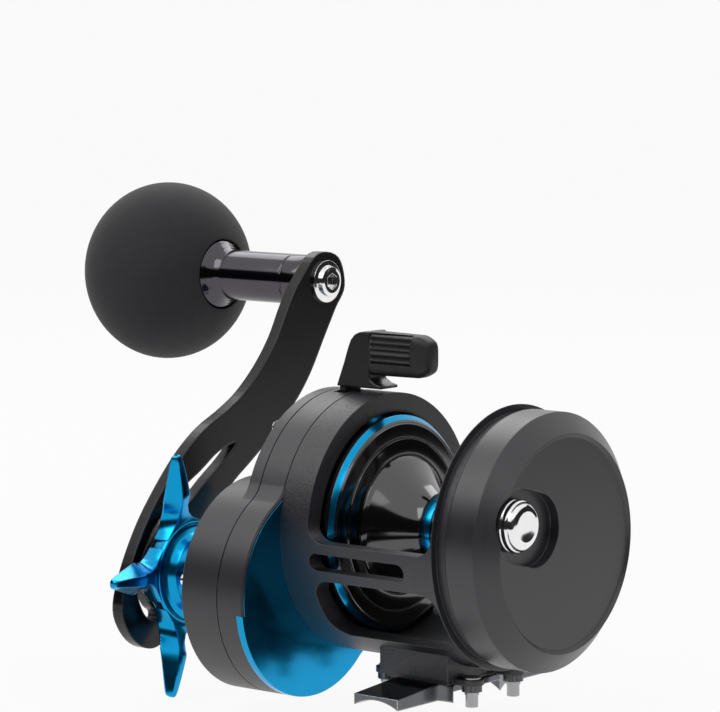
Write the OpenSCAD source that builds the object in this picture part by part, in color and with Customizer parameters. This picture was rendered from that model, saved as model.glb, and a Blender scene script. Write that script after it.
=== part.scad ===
// Star drag trolling reel.
// The spool axis runs along X: the handle side is -X and the side plate is +X.
// The rod tip is towards -Y, and +Z points away from the rod.
// The origin is the centre of the seat face under the reel foot.

/* [Spool] */
// Radius of the spool flanges
flange_r = 26; // [25:0.5:28]
// Width of the spool over both flanges
spool_w = 35.8; // [32:0.2:42]
// Radius of the arbor that the line winds on
arbor_r = 8.4; // [7:0.1:12]
// Width of the arbor between its two bands
arbor_w = 7; // [5:0.5:10]
// Depth of each turned step on the flange's inner face
step_d = 0.9; // [0.4:0.1:1.5]
// Radius of the spool shaft inside the spool
shaft_r = 2.5; // [2:0.1:3]
// Radius of the spool shaft inside the pinion
shaft_end_r = 1.5; // [1.3:0.1:1.6]

/* [Frame] */
// Gap between the spool flange and the frame rings
ring_gap = 0.6; // [0.4:0.1:1]
// Radial thickness of the right ring
ring_t = 4.6; // [4:0.1:6]
// Width of the right ring
ring_w = 8.4; // [7:0.1:11]
// How far the spool rim stands out of the right ring
rim_proud = 1.8; // [1:0.1:2.5]
// Width of the left ring
left_ring_w = 3; // [2.4:0.1:4]
// How far the left ring is set in from the right ring's radius
left_ring_inset = 1.8; // [1:0.1:2.2]
// Gap between the spool's left flange and the left side plate
left_gap = 1.8; // [1.5:0.1:3]
// Height of the front bar's top edge below the spool axis
bar_top = 0.9; // [0:0.1:3]
// Height of the front and rear bars
bar_h = 9; // [8:0.1:12]
// Rounding of the windows between the bars
window_round = 4.5; // [3:0.5:6]
// Height of the long slot in the front bar
bar_slot_h = 4.1; // [3:0.1:5]

/* [Side plate] */
// Radius of the left side plate
plate_r = 30.3; // [29.6:0.1:33]
// Thickness of the left side plate
plate_t = 12.5; // [11:0.1:16]
// Depth of the wide outer chamfer along the axis
chamfer_x = 4.2; // [3:0.1:5]
// Depth of the wide outer chamfer across the face
chamfer_r = 4.8; // [3:0.1:6]
// Depth of the dish in the face
dish_d = 0.7; // [0.3:0.1:1.2]
// Radius of the ends of the clicker recess
recess_r = 8.6; // [7.5:0.1:9]
// Depth of the clicker recess below the face
recess_d = 3.2; // [2:0.1:4]
// Travel of the clicker button
click_travel = 6.6; // [5:0.1:7]

/* [Gear case] */
// Thickness of the blue gear plate
gear_plate_t = 1.8; // [1.5:0.1:2.5]
// Width of the middle housing
housing_w = 6; // [5.6:0.1:9]
// Width of the round part of the right cover
cover_w = 4; // [3.5:0.1:6]
// Extra depth of the cover over the drive gear
lobe_deep = 7.6; // [7:0.1:10]
// Wall of the housing and the cover
case_wall = 2.2; // [1.8:0.1:2.6]
// Radius of the lobe around the drive shaft
lobe_r = 25.6; // [25:0.1:28]
// Rounding of the neck between the lobe and the round part
neck_round = 9; // [5:0.5:14]
// Width of the lip that hides the gear plate's edge
lip_w = 0.8; // [0.6:0.1:1.2]

/* [Gears] */
// Gear module, the pitch diameter per tooth
gear_module = 0.65; // [0.62:0.01:0.66]
// Teeth on the drive gear
drive_teeth = 64; // [60:1:64]
// Teeth on the pinion
pinion_teeth = 10; // [10:1:11]
// Face width of the drive gear
gear_w = 3; // [2.4:0.1:3.4]
// Angle of the drive shaft below the front of the spool axis
drive_angle = 36.87; // [30:0.01:45]
// Travel of the pinion when the clutch lets go
clutch_travel = 2.2; // [1.8:0.1:2.4]

/* [Handle] */
// Distance from the drive shaft to the knob spindle
handle_reach = 89.6; // [80:0.1:100]
// Thickness of the handle arm
arm_t = 3.2; // [2.6:0.1:4]
// Width of the handle arm at the knob end
arm_w = 17; // [14:0.5:20]
// Radius of the knob
knob_r = 23.4; // [20:0.1:26]
// Length of the knob over its radius
knob_oval = 0.94; // [0.85:0.01:1]
// Distance from the handle arm to the middle of the knob
knob_out = 53.5; // [48:0.5:58]
// Radius of the knob's metal sleeve
sleeve_r = 6.5; // [6:0.1:7.5]

/* [Star drag] */
// Radius over the tips of the star arms
star_r = 31; // [26:0.5:34]
// Thickness of the star arms
star_t = 5; // [4:0.1:6]
// Radius of the star's neck
neck_r = 11.8; // [11:0.1:13]
// Radius of the drive shaft under the star
drive_r = 4; // [3.6:0.1:4.3]

/* [Clutch lever] */
// Length of the ribbed grip along the spool axis
grip_l = 18.5; // [14:0.5:22]
// Height of the ribbed grip
grip_h = 10.6; // [8:0.1:12]
// Thickness of the ribbed grip
grip_t = 6.6; // [5.6:0.1:8]
// Number of ribs on the grip
ribs = 5; // [3:1:6]
// Swing of the lever to free spool, in degrees
lever_swing = 30; // [20:1:34]

/* [Foot] */
// Length of the reel foot along the rod
foot_l = 56; // [50:1:70]
// Width of the reel foot
foot_w = 12.8; // [11:0.1:14]
// Radius of the rod under the foot
rod_r = 13; // [11:0.5:15]
// Spacing of the clamp studs across the rod
stud_x = 25; // [24:0.5:28]
// Spacing of the clamp studs along the rod
stud_y = 16; // [14:0.5:20]
// Radius of the clamp studs
stud_r = 1.5; // [1.25:0.05:1.75]

/* [Fits] */
// Radial clearance of a running fit
run_fit = 0.05; // [0.02:0.01:0.08]
// Gap between moving faces
gap = 0.4; // [0.3:0.05:0.6]

/* [Hidden] */
$fn = 96;
far = 200;

// Stations along the spool axis, from the rim of the spool's right flange
ring_face_x = -rim_proud;
ring_back_x = ring_face_x - ring_w;
gear_plate_x = ring_back_x - gear_plate_t;
housing_x = gear_plate_x - housing_w;
cover_x = housing_x - cover_w;
lobe_x = cover_x - lobe_deep;
plate_x = spool_w + left_gap;
left_ring_x = plate_x - left_ring_w;
plate_face_x = plate_x + plate_t;

// Rings and bars
ring_bore = flange_r + ring_gap;
ring_r = ring_bore + ring_t;
left_ring_r = ring_r - left_ring_inset;
bar_inner_r = ring_bore + 0.3;
mid_x = (ring_face_x + plate_x) / 2 + 0.6;

// Drive shaft axis
pitch_drive = gear_module * drive_teeth / 2;
pitch_pinion = gear_module * pinion_teeth / 2;
centre_d = pitch_drive + pitch_pinion;
drive_y = -centre_d * cos(drive_angle);
drive_z = -centre_d * sin(drive_angle);
// Turns that put a pinion tooth in a gap of the drive gear.
drive_turn = drive_angle;
pinion_turn = 180 + drive_angle + 180 / pinion_teeth;
addendum = 0.9 * gear_module;
dedendum = 1.15 * gear_module;
gear_x = housing_x - 1.5;
plate_low_z = -17.5;

// Foot
foot_y = -3;
foot_t = 2.2;
clamp_t = 1.3;
block_t = 6;
seat_drop = ring_r + foot_t + clamp_t + 0.9;
nut_h = 1.6;
nut_r = 2.4;
stud_root_r = stud_r + 0.2;
stud_free_z = -0.2;
stud_tip_z = -3;
foot_screw_y = 6;
foot_screw_r = 1.25;
plate_screw_r = 0.8;
hole_fit = 0.05;
// Step cut round each end of the housing, which shows as a thin dark seam.
seam = 0.3;
// A blend is cut this much past its tangent line, so that its faces cross cleanly.
blend_cut = 0.02;

// Outside stack on the drive shaft
boss_x = lobe_x - 1.6;
star_x = lobe_x - 18.4;
star_back_x = star_x - star_t;
arm_x = star_back_x - 3;
nut_x = arm_x - arm_t;
nut_len = 5;
cap_len = 5;
shaft_tip_x = nut_x - nut_len + 0.3;
drag_w = 0.8;
drag_r = 15;
ratchet_x = gear_plate_x - 4.1;
ratchet_t = 1.2;
ratchet_r = 12.5;
ratchet_teeth = 16;
pawl_turn = 171.6;
pawl_d = 18.5;
roller_r = 7;
tension_x = lobe_x - 4.4;
end_bearing_r = 4;
end_bearing_x = cover_x - 5.6;

// Knob spindle place in the handle's plane
reach_angle = 48;
pivot_y = drive_y + handle_reach * cos(reach_angle);
pivot_z = drive_z + handle_reach * sin(reach_angle);
knob_x = arm_x - knob_out;
spindle_r = 3;

// Clicker
click_y = -17.2;
click_z = 6.2;
click_tilt = -15;
stem_r = 1.6;
button_r = 6.3;
floor_x = plate_face_x - recess_d;
cavity_x = floor_x - 2.6;
cavity_r = plate_r - 6.4;
click_gear_x = plate_x + 0.8;
click_gear_w = 1.2;
click_gear_r = 6;
bearing_w = 3;
bearing_x = plate_x + 3;
bearing_r = 5;

// Clutch
yoke_x = gear_plate_x - 2.6;
yoke_t = 1;
post_d = 11;
post_r = 1.2;
spring_l = 3.4;
cam_x = gear_plate_x - 0.3;
cam_t = 1;
lever_w = 6.6;
lever_t = 2;
lever_tip_z = ring_r + 14.6;

// Puts a shape drawn about the spool axis into the part's frame.
module at_spool() {
    translate([-mid_x, -foot_y, seat_drop]) children();
}

// Puts a shape drawn about the drive shaft axis into the part's frame.
module at_drive() {
    at_spool() translate([0, drive_y, drive_z]) children();
}

// Puts a shape drawn about the knob spindle into the part's frame.
module at_pivot() {
    at_spool() translate([0, pivot_y, pivot_z]) children();
}

// A cylinder along X between two stations.
module rod_x(r, x0, x1) {
    translate([x0, 0, 0]) rotate([0, 90, 0]) cylinder(r = r, h = x1 - x0);
}

// A tube along X between two stations.
module tube_x(outer, inner, x0, x1) {
    difference() {
        rod_x(outer, x0, x1);
        rod_x(inner, x0 - 1, x1 + 1);
    }
}

// A turned shape: points are radius and station along X.
module turned(points) {
    rotate([0, 90, 0]) rotate_extrude() polygon(points);
}

// A plate in the YZ plane between two stations, from a drawing in Y and Z.
module plate_yz(x0, x1) {
    translate([x0, 0, 0]) rotate([90, 0, 90]) linear_extrude(x1 - x0) children();
}

// A rounded window that cuts right through along Y, from a drawing in X and Z.
module window_y(x0, x1, z0, z1, round_r) {
    translate([0, far / 2, 0]) rotate([90, 0, 0]) linear_extrude(far) {
        translate([x0 + round_r, z0]) square([x1 - x0 - 2 * round_r, z1 - z0]);
        translate([x0, z0 + round_r]) square([x1 - x0, z1 - z0 - 2 * round_r]);
        for (x = [x0 + round_r, x1 - round_r], z = [z0 + round_r, z1 - round_r])
            translate([x, z]) circle(r = round_r);
    }
}

// The gear case's outline as a solid: the round part, the lobe and two necks.
module case_solid(x0, x1, inset) {
    round_r = ring_r - inset;
    end_r = lobe_r - inset;
    fillet = neck_round + inset;
    to_round = round_r + fillet;
    to_lobe = end_r + fillet;
    along = (centre_d * centre_d + to_round * to_round - to_lobe * to_lobe) / (2 * centre_d);
    across = sqrt(to_round * to_round - along * along);
    rod_x(round_r, x0, x1);
    translate([0, drive_y, drive_z]) rod_x(end_r, x0, x1);
    for (side = [-1, 1]) {
        corner = [-along * cos(drive_angle) + side * across * sin(drive_angle),
                  -along * sin(drive_angle) - side * across * cos(drive_angle)];
        difference() {
            plate_yz(x0, x1) polygon([[0, 0], corner, [drive_y, drive_z]]);
            translate([0, corner[0], corner[1]]) rod_x(fillet + blend_cut, x0 - 1, x1 + 1);
        }
    }
}

// A ring of copies about X.
module around_x(count, radius, start) {
    for (i = [0 : count - 1])
        rotate([start + i * 360 / count, 0, 0]) translate([0, 0, radius]) children();
}

// A spur gear outline: each tooth has a root, two flanks and a tip.
function gear_outline(teeth, root, tip) = [
    for (i = [0 : teeth - 1], k = [0 : 3])
        let (pitch = 360 / teeth,
             turn = [-0.27, -0.13, 0.13, 0.27][k] * pitch,
             r = (k == 0 || k == 3) ? root : tip)
        [r * cos(i * pitch + turn), r * sin(i * pitch + turn)]
];

// ---------------------------------------------------------------- frame

module frame() color([0.16, 0.16, 0.17]) at_spool() {
    slot_z = -bar_top - bar_h / 2;
    block_z = foot_t + clamp_t - seat_drop;
    difference() {
        union() {
            difference() {
                rod_x(ring_r, ring_back_x, plate_x);
                rod_x(bar_inner_r, ring_back_x - 1, plate_x + 1);
                window_y(ring_face_x, left_ring_x, -bar_top, far / 2, window_round);
                window_y(ring_face_x, left_ring_x, -bar_top - bar_h - 14, -bar_top - bar_h, window_round);
            }
            tube_x(ring_r, ring_bore, ring_back_x, ring_face_x);
            tube_x(left_ring_r, ring_bore, left_ring_x, plate_x);
            difference() {
                translate([mid_x - 10, foot_y - 14, block_z]) cube([20, 28, block_t]);
                rod_x(bar_inner_r, 0, plate_x);
            }
        }
        difference() {
            rod_x(ring_r + 2, left_ring_x + 0.2, plate_x + 1);
            rod_x(left_ring_r, left_ring_x, plate_x + 2);
        }
        translate([0, -ring_r - 2, slot_z]) for (x = [0.4, 24.4])
            translate([x, 0, 0]) rotate([-90, 0, 0]) cylinder(r = bar_slot_h / 2, h = ring_t + 4);
        translate([0.4, -ring_r - 2, slot_z - bar_slot_h / 2]) cube([24, ring_t + 4, bar_slot_h]);
        for (sy = [-1, 1]) translate([mid_x, foot_y + sy * foot_screw_y, block_z - 1])
            cylinder(r = foot_screw_r + hole_fit, h = block_t);
        plate_screw_shanks(hole_fit);
    }
}

// ----------------------------------------------------------- left plate

// The pill-shaped recess that the clicker slides in.
module click_path(r, x0, x1) {
    travel = [cos(click_tilt), sin(click_tilt)] * click_travel;
    translate([0, click_y, click_z]) rod_x(r, x0, x1);
    translate([0, click_y + travel[0], click_z + travel[1]]) rod_x(r, x0, x1);
    translate([0, click_y, click_z]) rotate([click_tilt, 0, 0])
        translate([x0, 0, blend_cut - r]) cube([x1 - x0, click_travel, 2 * (r - blend_cut)]);
}

module left_side_plate() color([0.17, 0.17, 0.18]) at_spool() {
    edge = 0.6;
    difference() {
        turned([[0, plate_x], [plate_r - edge, plate_x], [plate_r, plate_x + edge],
                [plate_r, plate_face_x - chamfer_x], [plate_r - chamfer_r, plate_face_x],
                [plate_r - chamfer_r - 0.8, plate_face_x - dish_d], [0, plate_face_x - dish_d]]);
        difference() {
            rod_x(cavity_r, plate_x - 1, cavity_x);
            rod_x(bearing_r + 2.5, bearing_x - 0.4, cavity_x + 1);
        }
        rod_x(bearing_r + run_fit, plate_x, bearing_x + bearing_w);
        rod_x(bearing_r - 1, plate_x, bearing_x + bearing_w + 1);
        click_path(recess_r, floor_x, plate_face_x + 1);
        click_path(stem_r + gap, cavity_x - 1, plate_face_x);
        plate_screw_shanks(hole_fit);
    }
}

module at_plate_screws() {
    for (turn = [45, 127, 233, 315])
        rotate([turn, 0, 0]) translate([0, 0, (left_ring_r + ring_bore) / 2]) children();
}

// Shanks of the screws that hold the left plate to the left ring.
module plate_screw_shanks(extra) {
    at_plate_screws() rod_x(plate_screw_r + extra, left_ring_x - 0.1, plate_x + 5 + extra);
}

module plate_screws() color([0.7, 0.7, 0.72]) at_spool() {
    plate_screw_shanks(0);
    at_plate_screws() rod_x(plate_screw_r + 0.45, left_ring_x - 1, left_ring_x);
}

// ------------------------------------------------------------ gear case

module gear_plate() color([0.02, 0.32, 0.6]) at_spool() {
    difference() {
        union() {
            case_solid(gear_plate_x, ring_back_x, lip_w + hole_fit);
            intersection() {
                case_solid(gear_plate_x, ring_back_x, 0);
                translate([gear_plate_x - 1, -far / 2, plate_low_z - far]) cube([far, far, far]);
            }
            translate([0, drive_y, drive_z]) rod_x(6.5, gear_plate_x - 2, gear_plate_x + 0.5);
        }
        rod_x(6.2, gear_plate_x - 1, ring_back_x + 1);
        translate([0, drive_y, drive_z]) rod_x(3 + run_fit, gear_plate_x - 3, gear_plate_x + 0.4);
        at_posts() rod_x(post_r + hole_fit, gear_plate_x - 1, ring_back_x - 0.4);
    }
}

module gear_housing() color([0.17, 0.17, 0.18]) at_spool() {
    difference() {
        union() {
            case_solid(housing_x + seam, ring_back_x - seam, 0);
            case_solid(housing_x, ring_back_x, seam);
        }
        case_solid(housing_x - 1, ring_back_x + 1, case_wall);
        case_solid(gear_plate_x, ring_back_x + 1, lip_w);
        translate([gear_plate_x, -far / 2, plate_low_z - far]) cube([far, far, far]);
        lever_window();
        cover_screw_shanks(hole_fit);
    }
    difference() {
        cover_screw_posts(housing_x, gear_plate_x);
        cover_screw_shanks(hole_fit);
    }
}

// The fan that the lever's neck sweeps through the housing's wall.
module lever_window() {
    reach = ring_r + 5;
    side = asin((lever_w / 2 + 1) / (ring_r - case_wall));
    front = 90 + side;
    back = 90 - side - lever_swing;
    middle = (front + back) / 2;
    plate_yz(gear_plate_x - lever_t - 1.8, gear_plate_x)
        polygon([[0, 0], reach * [cos(front), sin(front)], 1.2 * reach * [cos(middle), sin(middle)],
                 reach * [cos(back), sin(back)]]);
}

// Places of the cover screws, inside the case's wall: Y and Z.
function screw_spot(a, r) = [-r * cos(a), r * sin(a)];
screw_inset = 1.9;
cover_screw_r = 0.9;
cover_head_r = 1.4;
screw_spots = [
    screw_spot(52, ring_r - screw_inset), screw_spot(150, ring_r - screw_inset),
    screw_spot(215, ring_r - screw_inset), [drive_y, drive_z] + screw_spot(-100, lobe_r - screw_inset),
    [drive_y, drive_z] + screw_spot(8, lobe_r - screw_inset)
];

module cover_screw_shanks(extra) {
    for (spot = screw_spots)
        translate([0, spot[0], spot[1]]) rod_x(cover_screw_r + extra, lobe_x - 1, gear_plate_x - 0.6);
}

module cover_screw_posts(x0, x1) {
    for (spot = screw_spots) translate([0, spot[0], spot[1]]) rod_x(screw_inset - 0.1, x0, x1);
}

module right_cover() color([0.17, 0.17, 0.18]) at_spool() {
    bevel = 0.9;
    floor_t = 1.5;
    difference() {
        union() {
            difference() {
                union() {
                    case_solid(cover_x + bevel, housing_x, 0);
                    case_solid(cover_x, housing_x, bevel);
                    translate([0, drive_y, drive_z])
                        turned([[0, lobe_x], [lobe_r - bevel, lobe_x], [lobe_r, lobe_x + bevel],
                                [lobe_r, housing_x], [0, housing_x]]);
                }
                case_solid(cover_x + floor_t, housing_x + 1, case_wall);
                translate([0, drive_y, drive_z]) rod_x(lobe_r - case_wall, lobe_x + 2, housing_x + 1);
            }
            translate([0, drive_y, drive_z]) rod_x(9, boss_x, lobe_x + 3.4);
            rod_x(8, tension_x, cover_x + floor_t);
            intersection() {
                cover_screw_posts(cover_x, housing_x);
                case_solid(cover_x + 0.1, housing_x, 0.1);
            }
        }
        translate([0, drive_y, drive_z]) {
            rod_x(roller_r + hole_fit, boss_x + 1, lobe_x + 4);
            rod_x(drive_r + 1, boss_x - 1, lobe_x + 4);
        }
        rod_x(5.4, end_bearing_x + 3, housing_x + 1);
        rod_x(end_bearing_r + hole_fit, end_bearing_x, housing_x);
        rod_x(2.5, tension_x - 1, housing_x);
        cover_screw_shanks(hole_fit);
        for (spot = screw_spots) translate([0, spot[0], spot[1]])
            rod_x(cover_head_r + 0.2, lobe_x - 1, screw_seat(spot));
    }
}

// Station that a cover screw's head rests on: the lobe's face or the round part's.
function in_lobe(spot) = norm(spot - [drive_y, drive_z]) < lobe_r - 1;
function screw_seat(spot) = in_lobe(spot) ? lobe_x + 0.8 : cover_x + 0.6;

module cover_screws() color([0.72, 0.72, 0.74]) at_spool() {
    for (spot = screw_spots) translate([0, spot[0], spot[1]]) difference() {
        union() {
            rod_x(cover_screw_r, screw_seat(spot), gear_plate_x - 0.8);
            rod_x(cover_head_r, screw_seat(spot) - 1.1, screw_seat(spot));
        }
        translate([screw_seat(spot) - 1.2, -1, -0.2]) cube([0.6, 2, 0.4]);
        translate([screw_seat(spot) - 1.2, -0.2, -1]) cube([0.6, 0.4, 2]);
    }
}

// ---------------------------------------------------------------- foot

// The arched foot: a flat pad in the middle and a wing each way along the rod.
module reel_foot() color([0.1, 0.1, 0.11]) {
    tip_t = 0.9;
    half_l = foot_l / 2;
    half_w = foot_w / 2;
    pad_l = 9;
    difference() {
        intersection() {
            translate([0, half_l, -rod_r]) rotate([90, 0, 0]) cylinder(r = rod_r + foot_t + 1.2, h = foot_l);
            translate([0, 0, -foot_w]) linear_extrude(foot_w + foot_t)
                polygon([[-half_w, -half_l], [half_w, -half_l], [half_w, -pad_l - 4], [half_w + 1.5, -pad_l],
                         [half_w + 1.5, pad_l], [half_w, pad_l + 4], [half_w, half_l], [-half_w, half_l],
                         [-half_w, pad_l + 4], [-half_w - 1.5, pad_l], [-half_w - 1.5, -pad_l],
                         [-half_w, -pad_l - 4]]);
            rotate([90, 0, 90]) translate([0, 0, -far / 2]) linear_extrude(far)
                polygon([[-half_l, -foot_w], [-half_l, tip_t], [-pad_l - 4, foot_t], [pad_l + 4, foot_t],
                         [half_l, tip_t], [half_l, -foot_w]]);
        }
        translate([0, half_l + 1, -rod_r]) rotate([90, 0, 0]) cylinder(r = rod_r, h = foot_l + 2);
        translate([-foot_w, -pad_l, -foot_w]) cube([2 * foot_w, 2 * pad_l, foot_w]);
        for (sy = [-1, 1]) translate([0, sy * foot_screw_y, -1]) {
            cylinder(r = foot_screw_r + hole_fit, h = foot_t + 2);
            cylinder(r = 2.4, h = 1.9);
        }
    }
}

module foot_screws() color([0.6, 0.6, 0.62]) {
    for (sy = [-1, 1]) translate([0, sy * foot_screw_y, 0]) difference() {
        union() {
            translate([0, 0, 0.2]) cylinder(r = 2.2, h = 0.7);
            translate([0, 0, 0.2]) cylinder(r = foot_screw_r, h = foot_t + clamp_t + 4);
        }
        translate([0, 0, -0.5]) cylinder(r = 1.1, h = 1.4, $fn = 6);
    }
}

module at_studs() {
    for (sx = [-1, 1], sy = [-1, 1]) translate([sx * stud_x / 2, sy * stud_y / 2, 0]) children();
}

// The dark plate between the foot and the frame, with an ear at each stud.
module clamp_plate() color([0.09, 0.09, 0.1]) {
    ear_r = 2.8;
    difference() {
        union() {
            translate([-9, -12.5, foot_t]) cube([18, 25, clamp_t]);
            at_studs() translate([0, 0, foot_t]) cylinder(r = ear_r, h = clamp_t);
            for (sy = [-1, 1]) translate([-stud_x / 2, sy * stud_y / 2 - ear_r, foot_t])
                cube([stud_x, 2 * ear_r, clamp_t]);
        }
        at_studs() cylinder(r = stud_root_r + hole_fit, h = far, center = true);
        for (sy = [-1, 1]) translate([0, sy * foot_screw_y, 0])
            cylinder(r = foot_screw_r + hole_fit, h = far, center = true);
    }
}

// Studs for the rod clamp: a low head above the plate, a root in it and a free end.
module clamp_studs() color([0.55, 0.55, 0.57]) at_studs() {
    top_z = foot_t + clamp_t;
    head_r = stud_root_r + 0.4;
    head_t = 0.5;
    translate([0, 0, stud_tip_z]) cylinder(r = stud_r, h = stud_free_z - stud_tip_z);
    translate([0, 0, stud_free_z]) cylinder(r = stud_root_r, h = top_z - stud_free_z);
    translate([0, 0, top_z]) cylinder(r = head_r, h = head_t);
}

module clamp_nuts() color([0.3, 0.3, 0.32]) at_studs() difference() {
    translate([0, 0, foot_t - nut_h]) cylinder(r = nut_r, h = nut_h);
    translate([0, 0, foot_t - nut_h - 1]) cylinder(r = stud_root_r + hole_fit, h = nut_h + 2);
    for (a = [0 : 30 : 330]) rotate([0, 0, a]) translate([nut_r, 0, foot_t - nut_h - 1])
        cylinder(r = 0.22, h = nut_h + 2, $fn = 6);
}

// --------------------------------------------------------------- spool

module spool() color([0.05, 0.05, 0.06]) at_spool() {
    band_w = 2;
    band_h = 0.4;
    rim_bevel = 1.5;
    cone_r = flange_r - 11;
    cone_x = rim_bevel + 3 * step_d;
    band_x = (spool_w - arbor_w) / 2 - 0.4;
    steps = 8;
    side = concat(
        [[shaft_r, -5], [5, -5], [6.2, -4], [9, -2.6], [flange_r - 0.8, -2.6], [flange_r, -1.3], [flange_r, 0],
         [flange_r - 1.8, rim_bevel], [flange_r - 4.1, rim_bevel + 0.2],
         [flange_r - 4.6, rim_bevel + 0.2 + step_d], [flange_r - 8.8, rim_bevel + 0.4 + step_d],
         [flange_r - 9.3, rim_bevel + 0.4 + 2 * step_d]],
        [for (i = [0 : steps]) let (t = i / steps)
            [arbor_r + (cone_r - arbor_r) * pow(1 - t, 1.5), cone_x + (band_x - cone_x) * t]],
        [[arbor_r + band_h, band_x], [arbor_r + band_h, band_x + band_w], [arbor_r, band_x + band_w]]);
    other = [for (i = [len(side) - 1 : -1 : 0]) [side[i][0], spool_w - side[i][1]]];
    difference() {
        turned(concat(side, [for (p = other) [p[0], min(p[1], spool_w + left_gap - 0.5)]]));
        translate([spool_w / 2, 0, arbor_r - 3]) cylinder(r = 1, h = 5);
    }
}

module spool_shaft() color([0.75, 0.75, 0.77]) at_spool() {
    difference() {
        turned([[0, end_bearing_x - 0.4], [shaft_end_r, end_bearing_x - 0.4], [shaft_end_r, ring_back_x + 0.8],
                [shaft_r, ring_back_x + 0.8], [shaft_r, bearing_x - 0.4], [2, bearing_x - 0.4],
                [2, bearing_x + bearing_w + 0.5], [0, bearing_x + bearing_w + 0.5]]);
        translate([ring_back_x - 0.4, 0, 0]) cylinder(r = 0.8 + hole_fit, h = 20, center = true);
    }
}

// The cross pin that the pinion's slot drives.
module drive_pin() color([0.7, 0.7, 0.72]) at_spool() {
    translate([ring_back_x - 0.4, 0, 0]) cylinder(r = 0.8, h = 8.4, center = true);
}

// A ball bearing drawn as one ring with a groove in each face.
module bearing(x0, w, inner, outer) {
    groove = 0.35;
    mid = (inner + outer) / 2;
    difference() {
        tube_x(outer, inner, x0, x0 + w);
        tube_x(mid + 0.7, mid - 0.7, x0 - 1, x0 + groove);
        tube_x(mid + 0.7, mid - 0.7, x0 + w - groove, x0 + w + 1);
    }
}

module left_spool_bearing() color([0.78, 0.78, 0.8]) at_spool()
    bearing(bearing_x, bearing_w, 2 + run_fit, bearing_r);

module right_spool_bearing() color([0.78, 0.78, 0.8]) at_spool()
    bearing(end_bearing_x, 3, shaft_end_r + run_fit, end_bearing_r);

module click_gear() color([0.8, 0.68, 0.35]) at_spool() difference() {
    plate_yz(click_gear_x, click_gear_x + click_gear_w) polygon(gear_outline(20, click_gear_r - 0.9, click_gear_r));
    rod_x(shaft_r + hole_fit, plate_x, plate_x + 5);
}

module click_button() color([0.85, 0.86, 0.88]) at_spool() translate([0, click_y, click_z])
    turned([[0, click_gear_x + click_gear_w + gap], [stem_r, click_gear_x + click_gear_w + gap],
            [stem_r, floor_x + gap], [button_r, floor_x + gap], [button_r, floor_x + gap + 0.9],
            [button_r - 0.7, floor_x + gap + 1.1], [button_r - 0.7, floor_x + 2.4],
            [button_r - 1.4, floor_x + 2.6], [button_r - 1.4, floor_x + 3.9],
            [button_r - 2.0, floor_x + 4.4], [0, floor_x + 4.6]]);

// The tongue that the button carries inside the side plate.
module click_pawl() color([0.6, 0.6, 0.62]) at_spool() translate([0, click_y, click_z])
    rotate([click_tilt, 0, 0]) plate_yz(click_gear_x, click_gear_x + click_gear_w + gap)
        polygon([[-2.4, -2.4], [1.5, -2.4], [5.0, -0.5], [5.0, 0.5], [1.5, 2.4], [-2.4, 2.4]]);

module tension_cap() color([0.14, 0.14, 0.15]) at_spool() {
    skirt = 3.6;
    difference() {
        turned([[0, tension_x - 1.8], [8.4, tension_x - 1.8], [9.4, tension_x - 0.8],
                [9.4, tension_x + skirt], [0, tension_x + skirt]]);
        rod_x(8 + run_fit, tension_x - 0.3, tension_x + skirt + 1);
        around_x(18, 9.7, 0) rod_x(0.6, tension_x - 3, tension_x + 2.8);
    }
}

module tension_spacer() color([0.75, 0.6, 0.3]) at_spool()
    rod_x(2.3, tension_x + 0.1, end_bearing_x - 0.6);

// --------------------------------------------------------- clutch parts

module pinion() color([0.8, 0.68, 0.35]) at_spool() {
    teeth_x = gear_x - 0.5;
    groove_x = yoke_x - 0.4;
    head_x = yoke_x + yoke_t + 0.4;
    head_r = 5.2;
    pin_r = 0.8;
    difference() {
        union() {
            plate_yz(teeth_x, groove_x) rotate(pinion_turn)
                polygon(gear_outline(pinion_teeth, pitch_pinion - dedendum, pitch_pinion + addendum));
            rod_x(2.6, groove_x, head_x);
            rod_x(head_r, head_x, ring_back_x + 0.4);
        }
        rod_x(shaft_end_r + run_fit, teeth_x - 1, ring_back_x + 1);
        translate([ring_back_x - 0.4 - pin_r - gap, -pin_r - gap, -head_r - 1])
            cube([pin_r * 2 + 3, 2 * (pin_r + gap), 2 * head_r + 2]);
    }
}

// The posts that guide the yoke, one each side of the pinion.
module at_posts() {
    for (side = [-1, 1])
        translate([0, side * post_d * sin(drive_angle), -side * post_d * cos(drive_angle)]) children();
}

module yoke_posts() color([0.7, 0.7, 0.72]) at_spool() at_posts()
    rod_x(post_r, housing_x - 2.3, ring_back_x - 0.4);

// The yoke is open towards the drive gear, so that it can pass the gear's rim.
module clutch_yoke() color([0.65, 0.65, 0.67]) at_spool() difference() {
    rotate([drive_angle - 90, 0, 0]) difference() {
        union() {
            translate([yoke_x, -post_d - 3, -3]) cube([yoke_t, 2 * post_d + 6, 6.6]);
            rod_x(5, yoke_x, yoke_x + yoke_t);
        }
        translate([yoke_x - 1, -post_d - 4, -8.2]) cube([yoke_t + 2, 2 * post_d + 8, 6]);
    }
    rod_x(2.6 + gap, yoke_x - 1, yoke_x + yoke_t + 1);
    at_posts() rod_x(post_r + 0.3, yoke_x - 1, yoke_x + yoke_t + 1);
}

// Coil springs that push the yoke towards the spool.
module yoke_springs() color([0.7, 0.7, 0.72]) at_spool() at_posts()
    coil_x(post_r + 0.8, 0.3, yoke_x - spring_l, yoke_x - 0.05, 4);

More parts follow.
